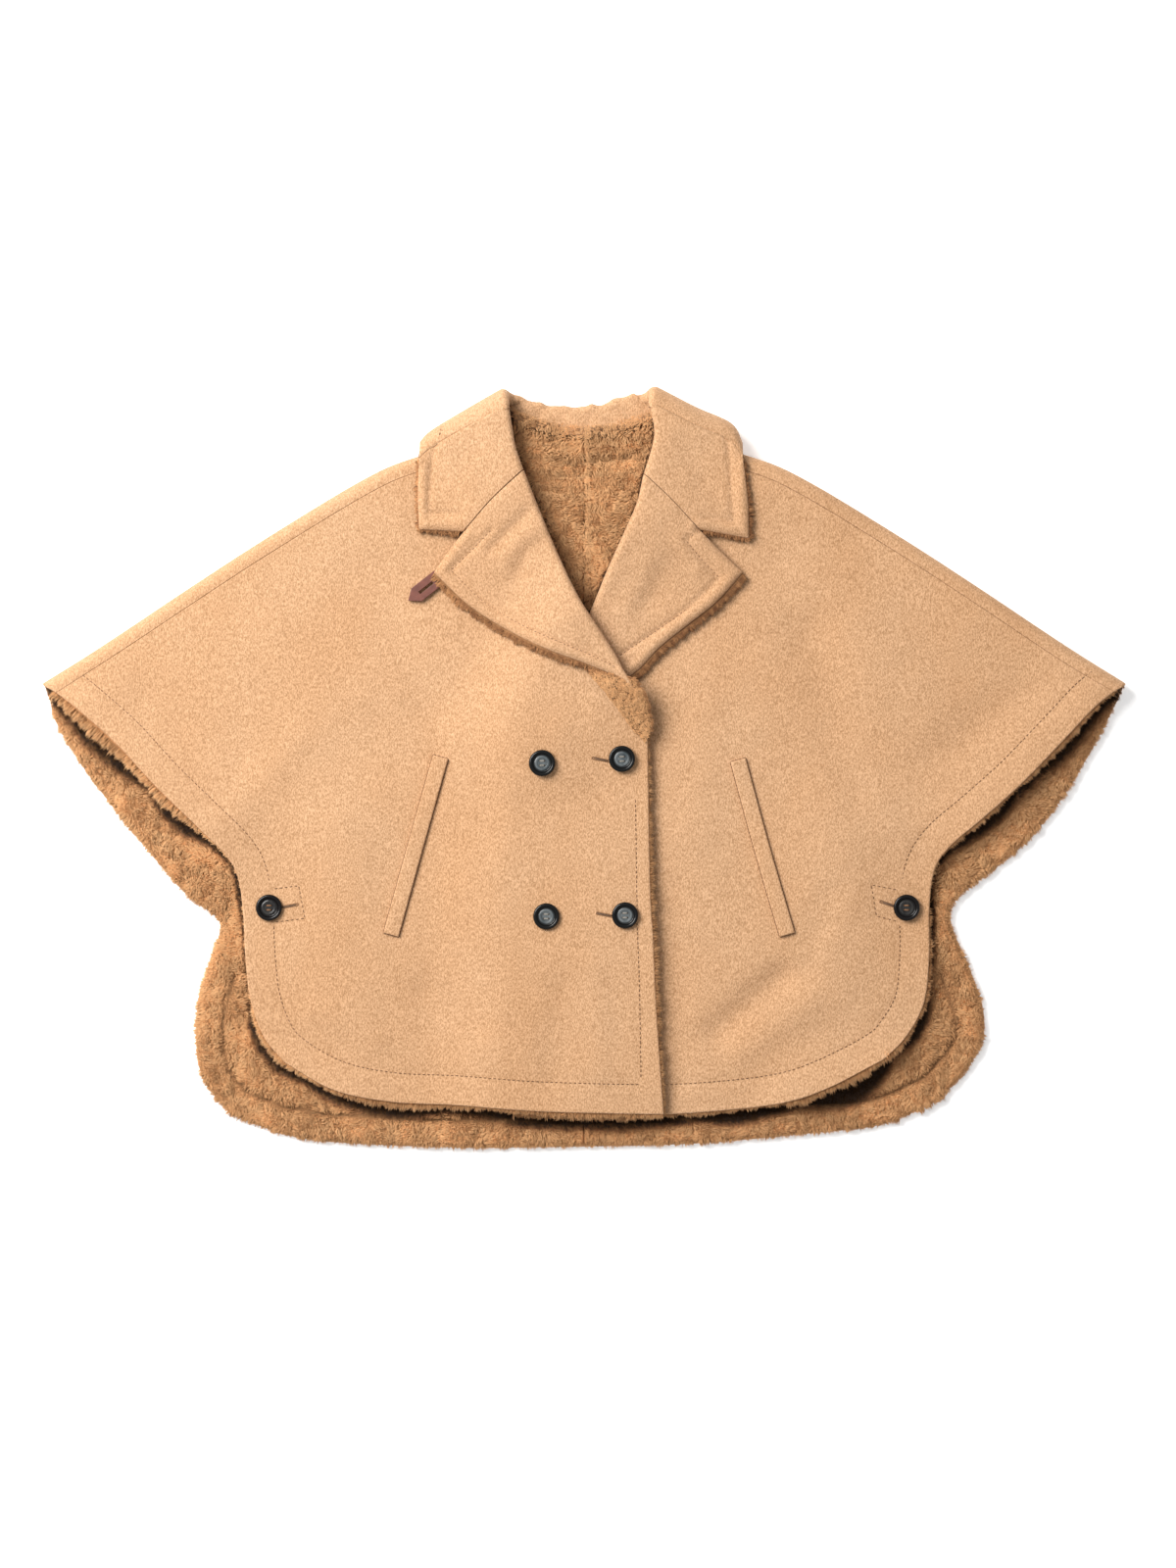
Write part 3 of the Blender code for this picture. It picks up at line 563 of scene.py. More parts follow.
def back_lining_grid(side, step):
    """One half of the back's lining, from the centre seam to its wing."""
    centre = np.array([(side * SEAM / 2, neck_seam(0)), (side * SEAM / 2, -364)])
    v = shares(670, step, (False, True))
    near = centre[0] + (centre[1] - centre[0]) * v[:, None]
    far = smooth(mirrored(BACK_WING[side], side), v)
    neck = np.array([(side * x, neck_seam(x)) for x in np.linspace(SEAM / 2, NECK_HALF_WIDTH, 12)])
    u = shares(520, step)
    start = cornered(neck, shoulder_lines(side, 90)[2], 0.12, u)
    hem = smooth(BACK_HEM, 240)
    hem = hem[hem[:, 0] * side > SEAM / 2]
    hem = np.vstack((centre[1:], hem if side > 0 else hem[::-1]))
    plan = patch(near, far, start, smooth(hem, u), v, u)
    return grown(plan, far=-FUR_INSET, start=-1.0, end=-FUR_INSET)


def back_shell_grid(step):
    """The back with the rows that wrap over the shoulders to the front, and which faces to skip.

    Those rows have no cloth at the neck, so their points there are not numbers.
    """
    plan, at = back_plan(step)
    flat = raised(plan, neck_rise(*plan_of(plan)) + WOOL / 2)
    rows, columns = plan.shape[:2]
    span = len(at)
    blocks = {}
    for side in (-1, 1):
        edge, front, back = shoulder_lines(side, at)
        high = front_top(*plan_of(front), side) - WOOL / 2
        low = neck_rise(*plan_of(back)) + WOOL / 2
        rows_over, _ = folded(edge, front, back, high, low)
        seam = np.column_stack((front + unit_rows(edge - front) * SEWN_GAP, high))
        ahead = rows_over[0] - seam
        before = [seam + ahead * share for share in (0, 0.011, 0.028, 0.08, 0.2, 0.45, 0.72)]
        block = np.array([*before, *rows_over])
        blocks[side] = block[:, ::-1] if side < 0 else block
    turns = len(blocks[1])
    wrap = np.full((turns, columns, 3), np.nan)
    wrap[:, :span] = blocks[-1]
    wrap[:, columns - span:] = blocks[1]
    skipped = np.zeros((turns + rows - 1, columns - 1), bool)
    skipped[:turns, span - 1:columns - span] = True
    return np.vstack((wrap, flat)), skipped


def roll_inset(side):
    """The front's own edge behind the roll, from the neck down to the break."""
    line = smooth(ROLL_AT_NECK[side][::-1][1:] + ROLL[side][1:], 16)
    inwards = unit_rows(turned_right(np.gradient(line, axis=0))) * -side
    taper = np.clip((line[:, 1] - 42) / 20, 0, 1)
    return line + inwards * (ROLL_RADIUS + WOOL / 2 + ROLL_HEM + EASE) * taper[:, None]


def front_plan(side, step):
    """A front's plan grid, from its shoulder to its hem."""
    u = shares(430, step)
    v = shares(640, step)
    shoulder = shoulder_lines(side, u)[1]
    inner = roll_inset(side)
    inner[0] = shoulder[0]
    near = smooth([*inner, *FRONT_EDGE[side]], v)
    far = smooth(mirrored(FRONT_WING[side], side), v)
    hem = smooth(mirrored(FRONT_HEM[side][::-1], side), u)
    return patch(near, far, shoulder, hem, v, u)


def front_outline(side):
    """The closed outline of a front as it shows, with its lapel left out. It runs past the shoulder."""
    lines = [
        mirrored(FRONT_WING[side], side),
        mirrored(FRONT_HEM[side], side),
        FRONT_EDGE[side][::-1],
        [*ROLL[side][::-1], *ROLL_AT_NECK[side][1:]],
        mirrored(SHOULDER[::-1], side),
    ]
    *shown, shoulder = (smooth(line, 90) for line in lines)
    over = np.clip(np.linalg.norm(shoulder - shoulder[-1], axis=1) / 40, 0, 1)[:, None] * 60
    shoulder = shoulder - unit_rows(turned_right(np.gradient(shoulder, axis=0))) * side * over
    return np.vstack((*shown, shoulder))


def hem_stitching(side):
    """The topstitching along a front's arm opening and hem, left out where the side patch is."""
    outline = smooth(mirrored(FRONT_WING[side][:-1] + FRONT_HEM[side], side), 170)
    inwards = unit_rows(turned_right(np.gradient(outline, axis=0))) * side
    line = (outline + inwards * HEM_STITCH)[1:]
    upper = line[(line[:, 1] > -110) & (np.abs(line[:, 0]) > 280)]
    lower = line[line[:, 1] < -147]
    return [upper, lower[lower[:, 0] < 54] if side < 0 else lower]


def front_stitching(side):
    """All topstitching of a front: its edges and the patch round the side buttonhole."""
    lines = hem_stitching(side)
    box = SIDE_BOXES[side]
    lines += [np.array(box[k:k + 2], float) for k in range(3)]
    if side < 0:
        lines.append(smooth([(54, -296), (52.5, -211), (50.6, -150), (48.7, -30)], 40))
    return lines


def lapel_plan(side, inset, step, far_shift=0.0):
    """The turned lapel between its roll line and its edge."""
    v = shares(270, step)[:-1]
    u = shares(95, step, (False, True))
    roll = smooth(ROLL[side], v * 0.985)
    far = smooth(LAPEL_EDGE[side], v * 0.985)
    top = smooth(LAPEL_TOP[side], u)
    bottom = roll[-1] + (far[-1] - roll[-1]) * u[:, None]
    plan = patch(roll, far, top, bottom, v / v[-1], u)
    width = np.linalg.norm(plan[:, -1] - plan[:, 0], axis=1)
    across = unit_rows(plan[:, -1:] - plan[:, :1])
    near_shift = np.minimum(inset, width / 3)[:, None, None]
    return plan + across * (near_shift * (1 - u)[None, :, None] + far_shift * u[None, :, None] ** 4)


def edge_round(x, y, edges):
    """The soft shape of a seamed edge, which drops at the edge and is full behind it."""
    distance = np.min([off_line(x, y, smooth(edge, LINE_POINTS))[0] for edge in edges], axis=0)
    drop = EDGE_DROP * (1 - np.clip(distance / EDGE_ROUND, 0, 1)) ** 2
    return EDGE_PUFF * np.exp(-(((distance - 5.5) / 3.5) ** 2)) - drop


def turned_shape(x, y, side, part):
    """The channels and edges of a turned lapel or of one end of the collar."""
    lines = [smooth(line, LINE_POINTS) for line in TURNED_STITCHING[side][part]]
    if part == "lapel":
        edges = [LAPEL_TOP[side][2:], LAPEL_EDGE[side]]
    else:
        edges = [COLLAR_END[side], COLLAR_EDGE[side]]
    gorge = pressed(x, y, [smooth(GORGE[side], LINE_POINTS)], *GORGE_GROOVE)
    return edge_round(x, y, edges) + pressed(x, y, lines, *TURNED_GROOVE) + gorge


def lapel_shell_grid(side):
    """The lapel's wool, rolled under along its roll line."""
    plan = lapel_plan(side, ROLL_RADIUS + WOOL / 2, LAPEL_STEP)
    x, y = plan_of(plan)
    height = turned_top(x, y, side) - WOOL / 2 + turned_shape(x, y, side, "lapel")
    width = np.linalg.norm(plan[:, -1] - plan[:, 0], axis=1)
    radii = np.clip(width / 4, 0.8, ROLL_RADIUS)
    up = np.tile(UP, (len(plan), 1))
    return with_roll(raised(plan, height), up, radii, ROLL_HEM * radii / ROLL_RADIUS)


def lapel_lining_grid(side):
    """The lapel's shearling, which lies between it and the front."""
    plan = lapel_plan(side, ROLL_RADIUS + 2 * WOOL, TURNED_FUR_STEP, 3.2)
    height = front_top(*plan_of(plan), side) + EASE + UNDER_PILE / 2
    return raised(plan, height + ridges(*plan_of(plan), TURNED_CREASES[side]))


def cornered(first, second, share, at):
    """Places along two curves that meet at a corner, which lies at the given share."""
    split = at <= share
    after = (at[~split] - share) / (1 - share)
    return np.vstack((smooth(first, at[split] / share), smooth(second, after)))


def collar_half(side, v, u):
    """One end of the collar in plan, with the fold over the shoulder and its inset lines."""
    edge = smooth(COLLAR_FOLD[side], u)
    share = u[:, None]
    upper_way = unit_rows((1 - share) * (-side * 0.28, -0.96) + share * np.array((0.0, -1.0)))
    lower_way = unit_rows((1 - share) * (-side * 0.85, -0.5) + share * (-side * 0.45, -0.9))
    upper = edge + upper_way * COLLAR_FOLD_INSET
    lower = edge + lower_way * COLLAR_FOLD_INSET
    start = cornered(GORGE[side], COLLAR_END[side], 0.6, u)
    near = smooth([*ROLL_AT_NECK[side][:-1], upper[0]], v)
    far = smooth([*COLLAR_EDGE[side][:-1], upper[-1]], v)
    return patch(near, far, start, upper, v, u), edge, upper, lower


def collar_level(x, y, side, depth):
    """A turned end of the collar, that far below its top. Only the wool has its channels and edges."""
    level = turned_top(x, y, side) - depth
    return level + turned_shape(x, y, side, "collar") if depth < WOOL else level


def collar_grid(step, depth, reach):
    """The whole collar as one band, from gorge seam to gorge seam round the back of the neck."""
    v = shares(95, step, (True, False))
    u = shares(95, step, (False, True))
    blocks = {}
    normals = {}
    backs = {}
    for side in (-1, 1):
        plan, edge, upper, lower = collar_half(side, v, u)
        flat = raised(plan, collar_level(*plan_of(plan), side, depth))
        high = turned_top(*plan_of(edge), side) - depth
        low = np.full(len(u), depth)
        inwards = unit_rows(upper + lower - 2 * edge)
        inset = FOLD_SLACK * (depth - WOOL / 2)
        rows_over, angles = folded(edge + inwards * inset, upper, lower, high, low)
        between = []
        for share in (0.25, 0.5, 0.75, 0.92):
            x, y = (upper + (rows_over[0][:, :2] - upper) * share).T
            level = collar_level(x, y, side, depth) * (1 - share) + high * share
            between.append(np.column_stack((x, y, level)))
        out = np.append(-inwards[0], 0)
        over_normals = [out * math.cos(angle) + UP * math.sin(angle) for angle in angles]
        blocks[side] = np.array([*flat, *between, *rows_over])
        flat_rows = len(v) + len(between)
        normals[side] = [UP] * flat_rows + over_normals
        backs[side] = lower
    w = np.linspace(0, 1, round(210 / step) + 1)
    roll = smooth([backs[-1][0], *COLLAR_BACK_ROLL[1:-1], backs[1][0]], w)
    fall = smooth([backs[-1][-1], *COLLAR_BACK_EDGE[1:-1], backs[1][-1]], w)
    under = patch(roll, fall, backs[-1], backs[1], w, u)
    under = raised(under, np.full(under.shape[:2], depth))
    down = [-UP] * (len(w) - 2)
    band = np.array([*blocks[-1], *under[1:-1], *blocks[1][::-1]])
    if reach:
        band[:, -1] += unit_rows(band[:, -1] - band[:, -3]) * reach
    return band, np.array([*normals[-1], *down, *normals[1][::-1]]), (flat_rows + FOLD_STEPS - 1, len(w))


def set_back(band, inset):
    """The band with its roll edge moved back by that much, and its outer edge kept."""
    inset = inset * np.linspace(1, 0, band.shape[1])[None, :, None]
    return band + unit_rows(band[:, 3:4] - band[:, :1]) * inset


def collar_shell_grid():
    """The collar's wool, rolled under round the neck and gathered at the back."""
    band, normals, (first_back, back_rows) = collar_grid(COLLAR_STEP, WOOL / 2, 0.0)
    band = set_back(band, ROLL_RADIUS + WOOL / 2)
    under = (1 - normals[:, 2]) / 2
    radii = ROLL_RADIUS + (NECK_ROLL_RADIUS - ROLL_RADIUS) * under
    hems = np.full(len(band), ROLL_HEM)
    for k in range(first_back, first_back + back_rows):
        seam = neck_seam(band[k, 0, 0]) + EASE + SEAM
        hems[k] = max(ROLL_HEM, band[k, 0, 1] - seam)
    grid = with_roll(band, normals, radii, hems)
    return puckered(grid, first_back, back_rows)


def puckered(grid, first_back, back_rows):
    """The gathers of the stand, deepest where the cloth turns over at the back of the neck."""
    rows = slice(max(first_back - 6, 0), first_back + back_rows + 6)
    block = grid[rows]
    rise = np.zeros(block.shape[:2])
    for x, reach, height in STAND_PUCKERS:
        slant = 0.12 * (block[..., 1] - 335)
        rise += height * np.exp(-(((block[..., 0] - x - slant) / reach) ** 2))
    columns = np.arange(block.shape[1])
    share = np.interp(columns, (0, 3, 7, 13, 22), (0.25, 0.7, 1.0, 0.5, 0.0))
    across = np.gradient(block, axis=1)
    along = np.gradient(block, axis=0)
    normal = unit_rows(np.cross(across, along))
    centre = block[:, 8:9].mean(axis=(0, 1))
    facing = np.sum(normal * (block - centre), axis=-1, keepdims=True)
    outwards = np.sign(facing.mean(axis=0, keepdims=True))
    moved = block + normal * outwards * (rise * share[None])[..., None] * 0.8
    result = grid.copy()
    result[rows] = moved
    return result


def collar_lining_grid():
    band, _, _ = collar_grid(TURNED_FUR_STEP, WOOL + SEAM + UNDER_PILE / 2, 1.2)
    return set_back(band, ROLL_RADIUS + 2 * WOOL)


def welt_seam(side):
    """The lines where the welt is sewn down, just outside its four sides."""
    line = smooth(WELTS[side], 30)
    along = unit_rows(np.gradient(line, axis=0))
    sideways = turned_right(along) * (WELT_HALF_WIDTH + 0.35)
    ends = [np.array([line[k] - sideways[k], line[k] + sideways[k]]) + along[k] * shift
            for k, shift in ((0, -0.4), (-1, 0.4))]
    return [line - sideways, line + sideways, *ends]


def welt_grid(side):
    """A pocket's welt, a narrow strip that is a little full along its middle."""
    v = shares(176, 4.0)
    u = shares(2 * WELT_HALF_WIDTH, 1.6)
    line = smooth(WELTS[side], v)
    sideways = unit_rows(turned_right(np.gradient(line, axis=0))) * WELT_HALF_WIDTH
    plan = line[:, None] + sideways[:, None] * (2 * u - 1)[None, :, None]
    crown = 0.5 * (1 - (2 * u - 1) ** 2)[None] + 0.15 * waves(*plan_of(plan), 22, 31)
    return raised(plan, front_top(*plan_of(plan), side) + WELT_SEAT + WOOL / 2 + crown)


# ---------------- materials


def set_inputs(node, values):
    for key, value in values.items():
        node.inputs[key].default_value = value


class Looks:
    """A new material, and the few kinds of node that the materials here are built from."""

    def __init__(self, name):
        self.material = bpy.data.materials.new(name)
        self.material.use_nodes = True
        self.link = self.material.node_tree.links.new
        self.shader = self.material.node_tree.nodes["Principled BSDF"]

    def add(self, kind, **settings):
        """A new node. Each setting is the value of an input or, where there is none, of a property."""
        node = self.material.node_tree.nodes.new(kind)
        for key, value in settings.items():
            if key in node.inputs:
                node.inputs[key].default_value = value
            else:
                setattr(node, key, value)
        return node

    def set(self, values):
        set_inputs(self.shader, values)

    def colour(self, source):
        self.link(source, self.shader.inputs["Base Color"])

    def noise(self, scale, stretch=(1, 1, 1), detail=2.0, roughness=0.55):
        """A noise in the object's own space. scale is in waves a metre."""
        place = self.add("ShaderNodeTexCoord")
        mapping = self.add("ShaderNodeMapping", Scale=stretch)
        noise = self.add("ShaderNodeTexNoise", Scale=scale, Detail=detail, Roughness=roughness)
        self.link(place.outputs["Object"], mapping.inputs["Vector"])
        self.link(mapping.outputs["Vector"], noise.inputs["Vector"])
        return noise.outputs["Fac"]

    def tone(self):
        """The tone that a mesh gives each of its points."""
        return self.add("ShaderNodeAttribute", attribute_name="tone").outputs["Fac"]

    def ramp(self, source, stops):
        ramp = self.add("ShaderNodeValToRGB")
        elements = ramp.color_ramp.elements
        while len(elements) < len(stops):
            elements.new(0.5)
        for element, (place, colour) in zip(elements, stops):
            element.position = place
            element.color = (*colour, 1.0)
        self.link(source, ramp.inputs["Fac"])
        return ramp.outputs["Color"]

    def mixed(self, first, second, factor, blend="MIX"):
        """Two colours mixed. Each may be a socket or a colour, and factor a socket or a number."""
        node = self.add("ShaderNodeMix", data_type="RGBA", blend_type=blend)
        for value, socket in ((factor, node.inputs[0]), (first, node.inputs[6]), (second, node.inputs[7])):
            if isinstance(value, bpy.types.NodeSocket):
                self.link(value, socket)
            else:
                socket.default_value = value if isinstance(value, float) else (*value, 1.0)
        return node.outputs[2]

    def times(self, first, second):
        return self.mixed(first, second, 1.0, "MULTIPLY")

    def bump(self, sources):
        """Bumps one on another, each a height socket, its strength and its depth in metres."""
        target = self.shader.inputs["Normal"]
        for height, strength, depth in reversed(sources):
            bump = self.add("ShaderNodeBump", Strength=strength, Distance=depth)
            self.link(height, bump.inputs["Height"])
            self.link(bump.outputs["Normal"], target)
            target = bump.inputs["Normal"]

    def unturned_normal(self):
        """The mesh's own normal on both sides of a face, so that thin blades are lit alike from behind."""
        place = self.add("ShaderNodeNewGeometry")
        flip = self.add("ShaderNodeMath", operation="MULTIPLY_ADD")
        self.link(place.outputs["Backfacing"], flip.inputs[0])
        flip.inputs[1].default_value = -2.0
        flip.inputs[2].default_value = 1.0
        turned = self.add("ShaderNodeVectorMath", operation="SCALE")
        self.link(place.outputs["Normal"], turned.inputs[0])
        self.link(flip.outputs[0], turned.inputs["Scale"])
        return turned.outputs[0]


def wool_material(name, light, dark):
    """Brushed double-faced wool: fine mottled fibres with the nap running down the cloth."""
    looks = Looks(name)
    fibre = looks.noise(950, (1, 0.42, 1), detail=4.0, roughness=0.75)
    melange = looks.noise(380, (1, 0.6, 1), detail=3.0)
    broad = looks.noise(11, (1, 0.7, 1))
    grain = looks.ramp(fibre, [(0.41, dark), (0.59, light)])
    patchy = looks.ramp(melange, [(0.30, (0.965, 0.96, 0.955)), (0.68, (1.02, 1.02, 1.025))])
    toned = looks.ramp(broad, [(0.3, (0.955, 0.91, 0.86)), (0.7, (1.0, 1.0, 1.0))])
    looks.colour(looks.times(looks.times(grain, patchy), toned))
    looks.set({"Roughness": 0.92, "Specular IOR Level": 0.18, "Sheen Weight": 0.16,
               "Sheen Roughness": 0.45, "Sheen Tint": (1.0, 0.80, 0.60, 1.0)})
    looks.bump([(melange, 0.4, 0.0008), (fibre, 0.8, 0.0007)])
    return looks.material


def fur_material(name, root, body, tip):
    """The strands: dark at the root, light at the tip, a little uneven, and near black in painted shade."""
    looks = Looks(name)
    colour = looks.ramp(looks.tone(), [(0.0, (0.012, 0.006, 0.003)), (0.3, root), (0.62, body), (1.0, tip)])
    broad = looks.noise(28)
    patchy = looks.ramp(broad, [(0.32, (0.88, 0.86, 0.84)), (0.66, (1.05, 1.05, 1.05))])
    looks.colour(looks.times(colour, patchy))
    looks.set({"Roughness": 0.75, "Specular IOR Level": 0.25, "Sheen Weight": 0.12})
    looks.link(looks.unturned_normal(), looks.shader.inputs["Normal"])
    return looks.material


def pile_material(name, dark, light):
    """The skin of curls under the strands, dark where its tone, which carries painted shade, is low."""
    looks = Looks(name)
    curl = looks.noise(210, detail=4.0, roughness=0.7)
    fine = looks.noise(900)
    shade = looks.ramp(looks.tone(), [(0.0, (0.03, 0.025, 0.02)), (1.0, (1.0, 1.0, 1.0))])
    colour = looks.ramp(curl, [(0.35, dark), (0.68, light)])
    looks.colour(looks.times(colour, shade))
    looks.set({"Roughness": 0.95, "Specular IOR Level": 0.1})
    looks.bump([(curl, 0.8, 0.002), (fine, 0.6, 0.0006)])
    return looks.material


def horn_material(name, rim, dish, dish_light):
    """Polished horn. Its tone is 0 on the dark rim and 1 in the streaked dish."""
    looks = Looks(name)
    streak = looks.noise(130, (1, 0.3, 1), detail=4.0, roughness=0.6)
    fine = looks.noise(1400)
    middle = looks.ramp(streak, [(0.36, dish), (0.68, dish_light)])
    looks.colour(looks.mixed(rim, middle, looks.tone()))
    looks.set({"Roughness": 0.24, "Specular IOR Level": 0.3})
    looks.bump([(fine, 0.15, 0.0002)])
    return looks.material


def leather_material(name, dark, light):
    looks = Looks(name)
    cell = looks.add("ShaderNodeTexVoronoi", Scale=1500)
    looks.link(looks.add("ShaderNodeTexCoord").outputs["Object"], cell.inputs["Vector"])
    soft = looks.noise(120, detail=3.0)
    looks.colour(looks.ramp(soft, [(0.3, dark), (0.7, light)]))
    looks.set({"Roughness": 0.46, "Specular IOR Level": 0.5})
    looks.bump([(cell.outputs["Distance"], 0.35, 0.0002), (soft, 0.2, 0.0004)])
    return looks.material


def thread_material(name, dark, light):
    looks = Looks(name)
    twist = looks.noise(1500)
    looks.colour(looks.ramp(twist, [(0.35, dark), (0.65, light)]))
    looks.set({"Roughness": 0.7})
    looks.bump([(twist, 0.4, 0.0002)])
    return looks.material


def floor_material(name, grey, white):
    looks = Looks(name)
    shade = looks.noise(3)
    looks.colour(looks.ramp(shade, [(0.3, grey), (0.7, white)]))
    looks.set({"Roughness": 0.9, "Emission Color": (1.0, 1.0, 1.0, 1.0),
               "Emission Strength": FLOOR_GLOW})
    return looks.material


WOOL_CLOTH = wool_material("camel_wool", (0.73, 0.45, 0.262), (0.42, 0.233, 0.116))
FUR_STRANDS = fur_material("shearling_strands", (0.35, 0.152, 0.062), (0.69, 0.345, 0.147),
                           (0.89, 0.52, 0.255))
FUR_SKIN = pile_material("shearling_skin", (0.45, 0.215, 0.092), (0.69, 0.365, 0.17))
HORN = horn_material("grey_horn", (0.004, 0.004, 0.004), (0.055, 0.068, 0.075), (0.15, 0.165, 0.17))
DARK_HORN = horn_material("dark_horn", (0.004, 0.003, 0.003), (0.010, 0.010, 0.011), (0.04, 0.038, 0.036))
LEATHER = leather_material("brown_leather", (0.115, 0.034, 0.022), (0.19, 0.058, 0.038))
# Topstitching: the thread's colour, darkened with painted shade of the sunken stitches.
STITCH_THREAD_AND_SHADE = thread_material("stitch_thread_and_painted_shade", (0.13, 0.06, 0.026), (0.27, 0.135, 0.062))
# Painted shade: a dark dash that stands for the shadow in a buttonhole's opening.
SLIT_PAINTED_SHADE = thread_material("slit_painted_shade", (0.05, 0.035, 0.025), (0.16, 0.10, 0.06))
GREY_THREAD = thread_material("grey_thread", (0.2, 0.18, 0.15), (0.5, 0.46, 0.4))
HOLE_THREAD = thread_material("buttonhole_thread", (0.16, 0.07, 0.03), (0.38, 0.2, 0.095))
CLOTHS = {"wool": WOOL_CLOTH, "shearling": FUR_SKIN}


# ---------------- meshes


def put(name, data):
    """A new object with that data, in the scene."""
    made = bpy.data.objects.new(name, data)
    bpy.context.scene.collection.objects.link(made)
    return made


def evaluated_mesh(made, *helpers):
    """The mesh that an object's modifiers make. The object and its helpers leave the scene."""
    bpy.context.view_layer.update()
    mesh = bpy.data.meshes.new_from_object(made.evaluated_get(bpy.context.evaluated_depsgraph_get()))
    for helper in (made, *helpers):
        bpy.data.objects.remove(helper)
    return mesh


def place_piece(name, mesh, material, node=None):
    """Puts a mesh in the scene as a piece of the object, which may stand for a CAD node."""
    mesh.materials.append(material)
    mesh.shade_smooth()
    piece = put(name, mesh)
    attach(piece, "root")
    if node:
        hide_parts(node)
    return piece


def mesh_of(name, points, faces):
    """A mesh of points in millimetres and of faces that all have the same number of corners."""
    mesh = bpy.data.meshes.new(name)
    count, corners = faces.shape
    mesh.vertices.add(len(points))
    mesh.vertices.foreach_set("co", (points * MM).astype(np.float32).ravel())
    mesh.loops.add(count * corners)
    mesh.loops.foreach_set("vertex_index", faces.astype(np.int32).ravel())
    mesh.polygons.add(count)
    mesh.polygons.foreach_set("loop_start", np.arange(0, count * corners, corners, dtype=np.int32))
    mesh.update(calc_edges=True)
    return mesh


def wall_mesh(name, grid, thickness, rims, skipped):
    """A closed wall round a grid. rims holds its rounding at the near, far, start and end sides."""
    rows, columns = grid.shape[:2]
    i, j = np.mgrid[0:rows - 1, 0:columns - 1]
    corner = i * columns + j
    quads = np.stack((corner, corner + 1, corner + columns + 1, corner + columns), axis=-1)
    quads = quads.reshape(-1, 4) if skipped is None else quads[~skipped]
    points = grid.reshape(-1, 3)
    near, right, far, left = (points[quads[:, k]] for k in range(4))
    face_normals = np.cross(far - near, left - right)
    normals = np.zeros_like(points)
    for k in range(4):
        np.add.at(normals, quads[:, k], face_normals)
    used = np.unique(quads)
    normals[used] = unit_rows(normals[used])

    ends = np.sort(np.concatenate([quads[:, [k, (k + 1) % 4]] for k in range(4)]), axis=1)
    edges, counts = np.unique(ends, axis=0, return_counts=True)
    border = np.unique(edges[counts == 1])
    radius = np.full((rows, columns), rims[0])
    radius[:, -columns // 2:] = rims[1]
    radius[0] = rims[2]
    radius[-1] = rims[3]
    radius = radius.ravel()
    tree = KDTree(len(border))
    for k, index in enumerate(border):
        tree.insert(points[index], k)
    tree.balance()
    height = np.full(len(points), thickness / 2)
    widest = max(np.max(rim) for rim in rims)
    for index in used:
        _, nearest, distance = tree.find(points[index])
        if distance < widest:
            share = min(distance / radius[border[nearest]], 1.0)
            height[index] = thickness / 2 * math.sqrt(1 - (1 - share) ** 2)

    upper = points + normals * height[:, None]
    lower = points - normals * height[:, None]
    below = np.arange(len(points)) + len(points)
    below[border] = border
    faces = np.concatenate((quads, below[quads][:, ::-1]))
    kept, faces = np.unique(faces, return_inverse=True)
    return mesh_of(name, np.vstack((upper, lower))[kept], faces.reshape(-1, 4))


def add_cloth(name, slot, grid, thickness, rims, node, skipped=None):
    """A sheet of cloth on its grid."""
    piece = place_piece(name, wall_mesh(name, grid, thickness, rims, skipped), CLOTHS[slot], node)
    return piece


def set_tone(mesh, tone):
    attribute = mesh.attributes.new("tone", "FLOAT", "POINT")
    attribute.data.foreach_set("value", np.asarray(tone, np.float32).ravel())


def locks_of(spots, size, seed):
    """The lock of pile that each place belongs to: its centre and five numbers of its own."""
    chance = np.random.default_rng(seed).random((*LOCK_CELLS, 5))
    home = np.floor(spots / size).astype(int)
    nearest = np.full(len(spots), np.inf)
    centre = np.zeros((len(spots), 2))
    own = np.zeros((len(spots), 5))
    for step in np.ndindex(3, 3):
        cell = home + step - 1
        numbers = chance[tuple((cell % LOCK_CELLS).T)]
        place = (cell + numbers[:, :2]) * size
        distance = np.linalg.norm(place - spots, axis=1)
        nearer = distance < nearest
        nearest[nearer] = distance[nearer]
        centre[nearer] = place[nearer]
        own[nearer] = numbers[nearer]
    return centre, own


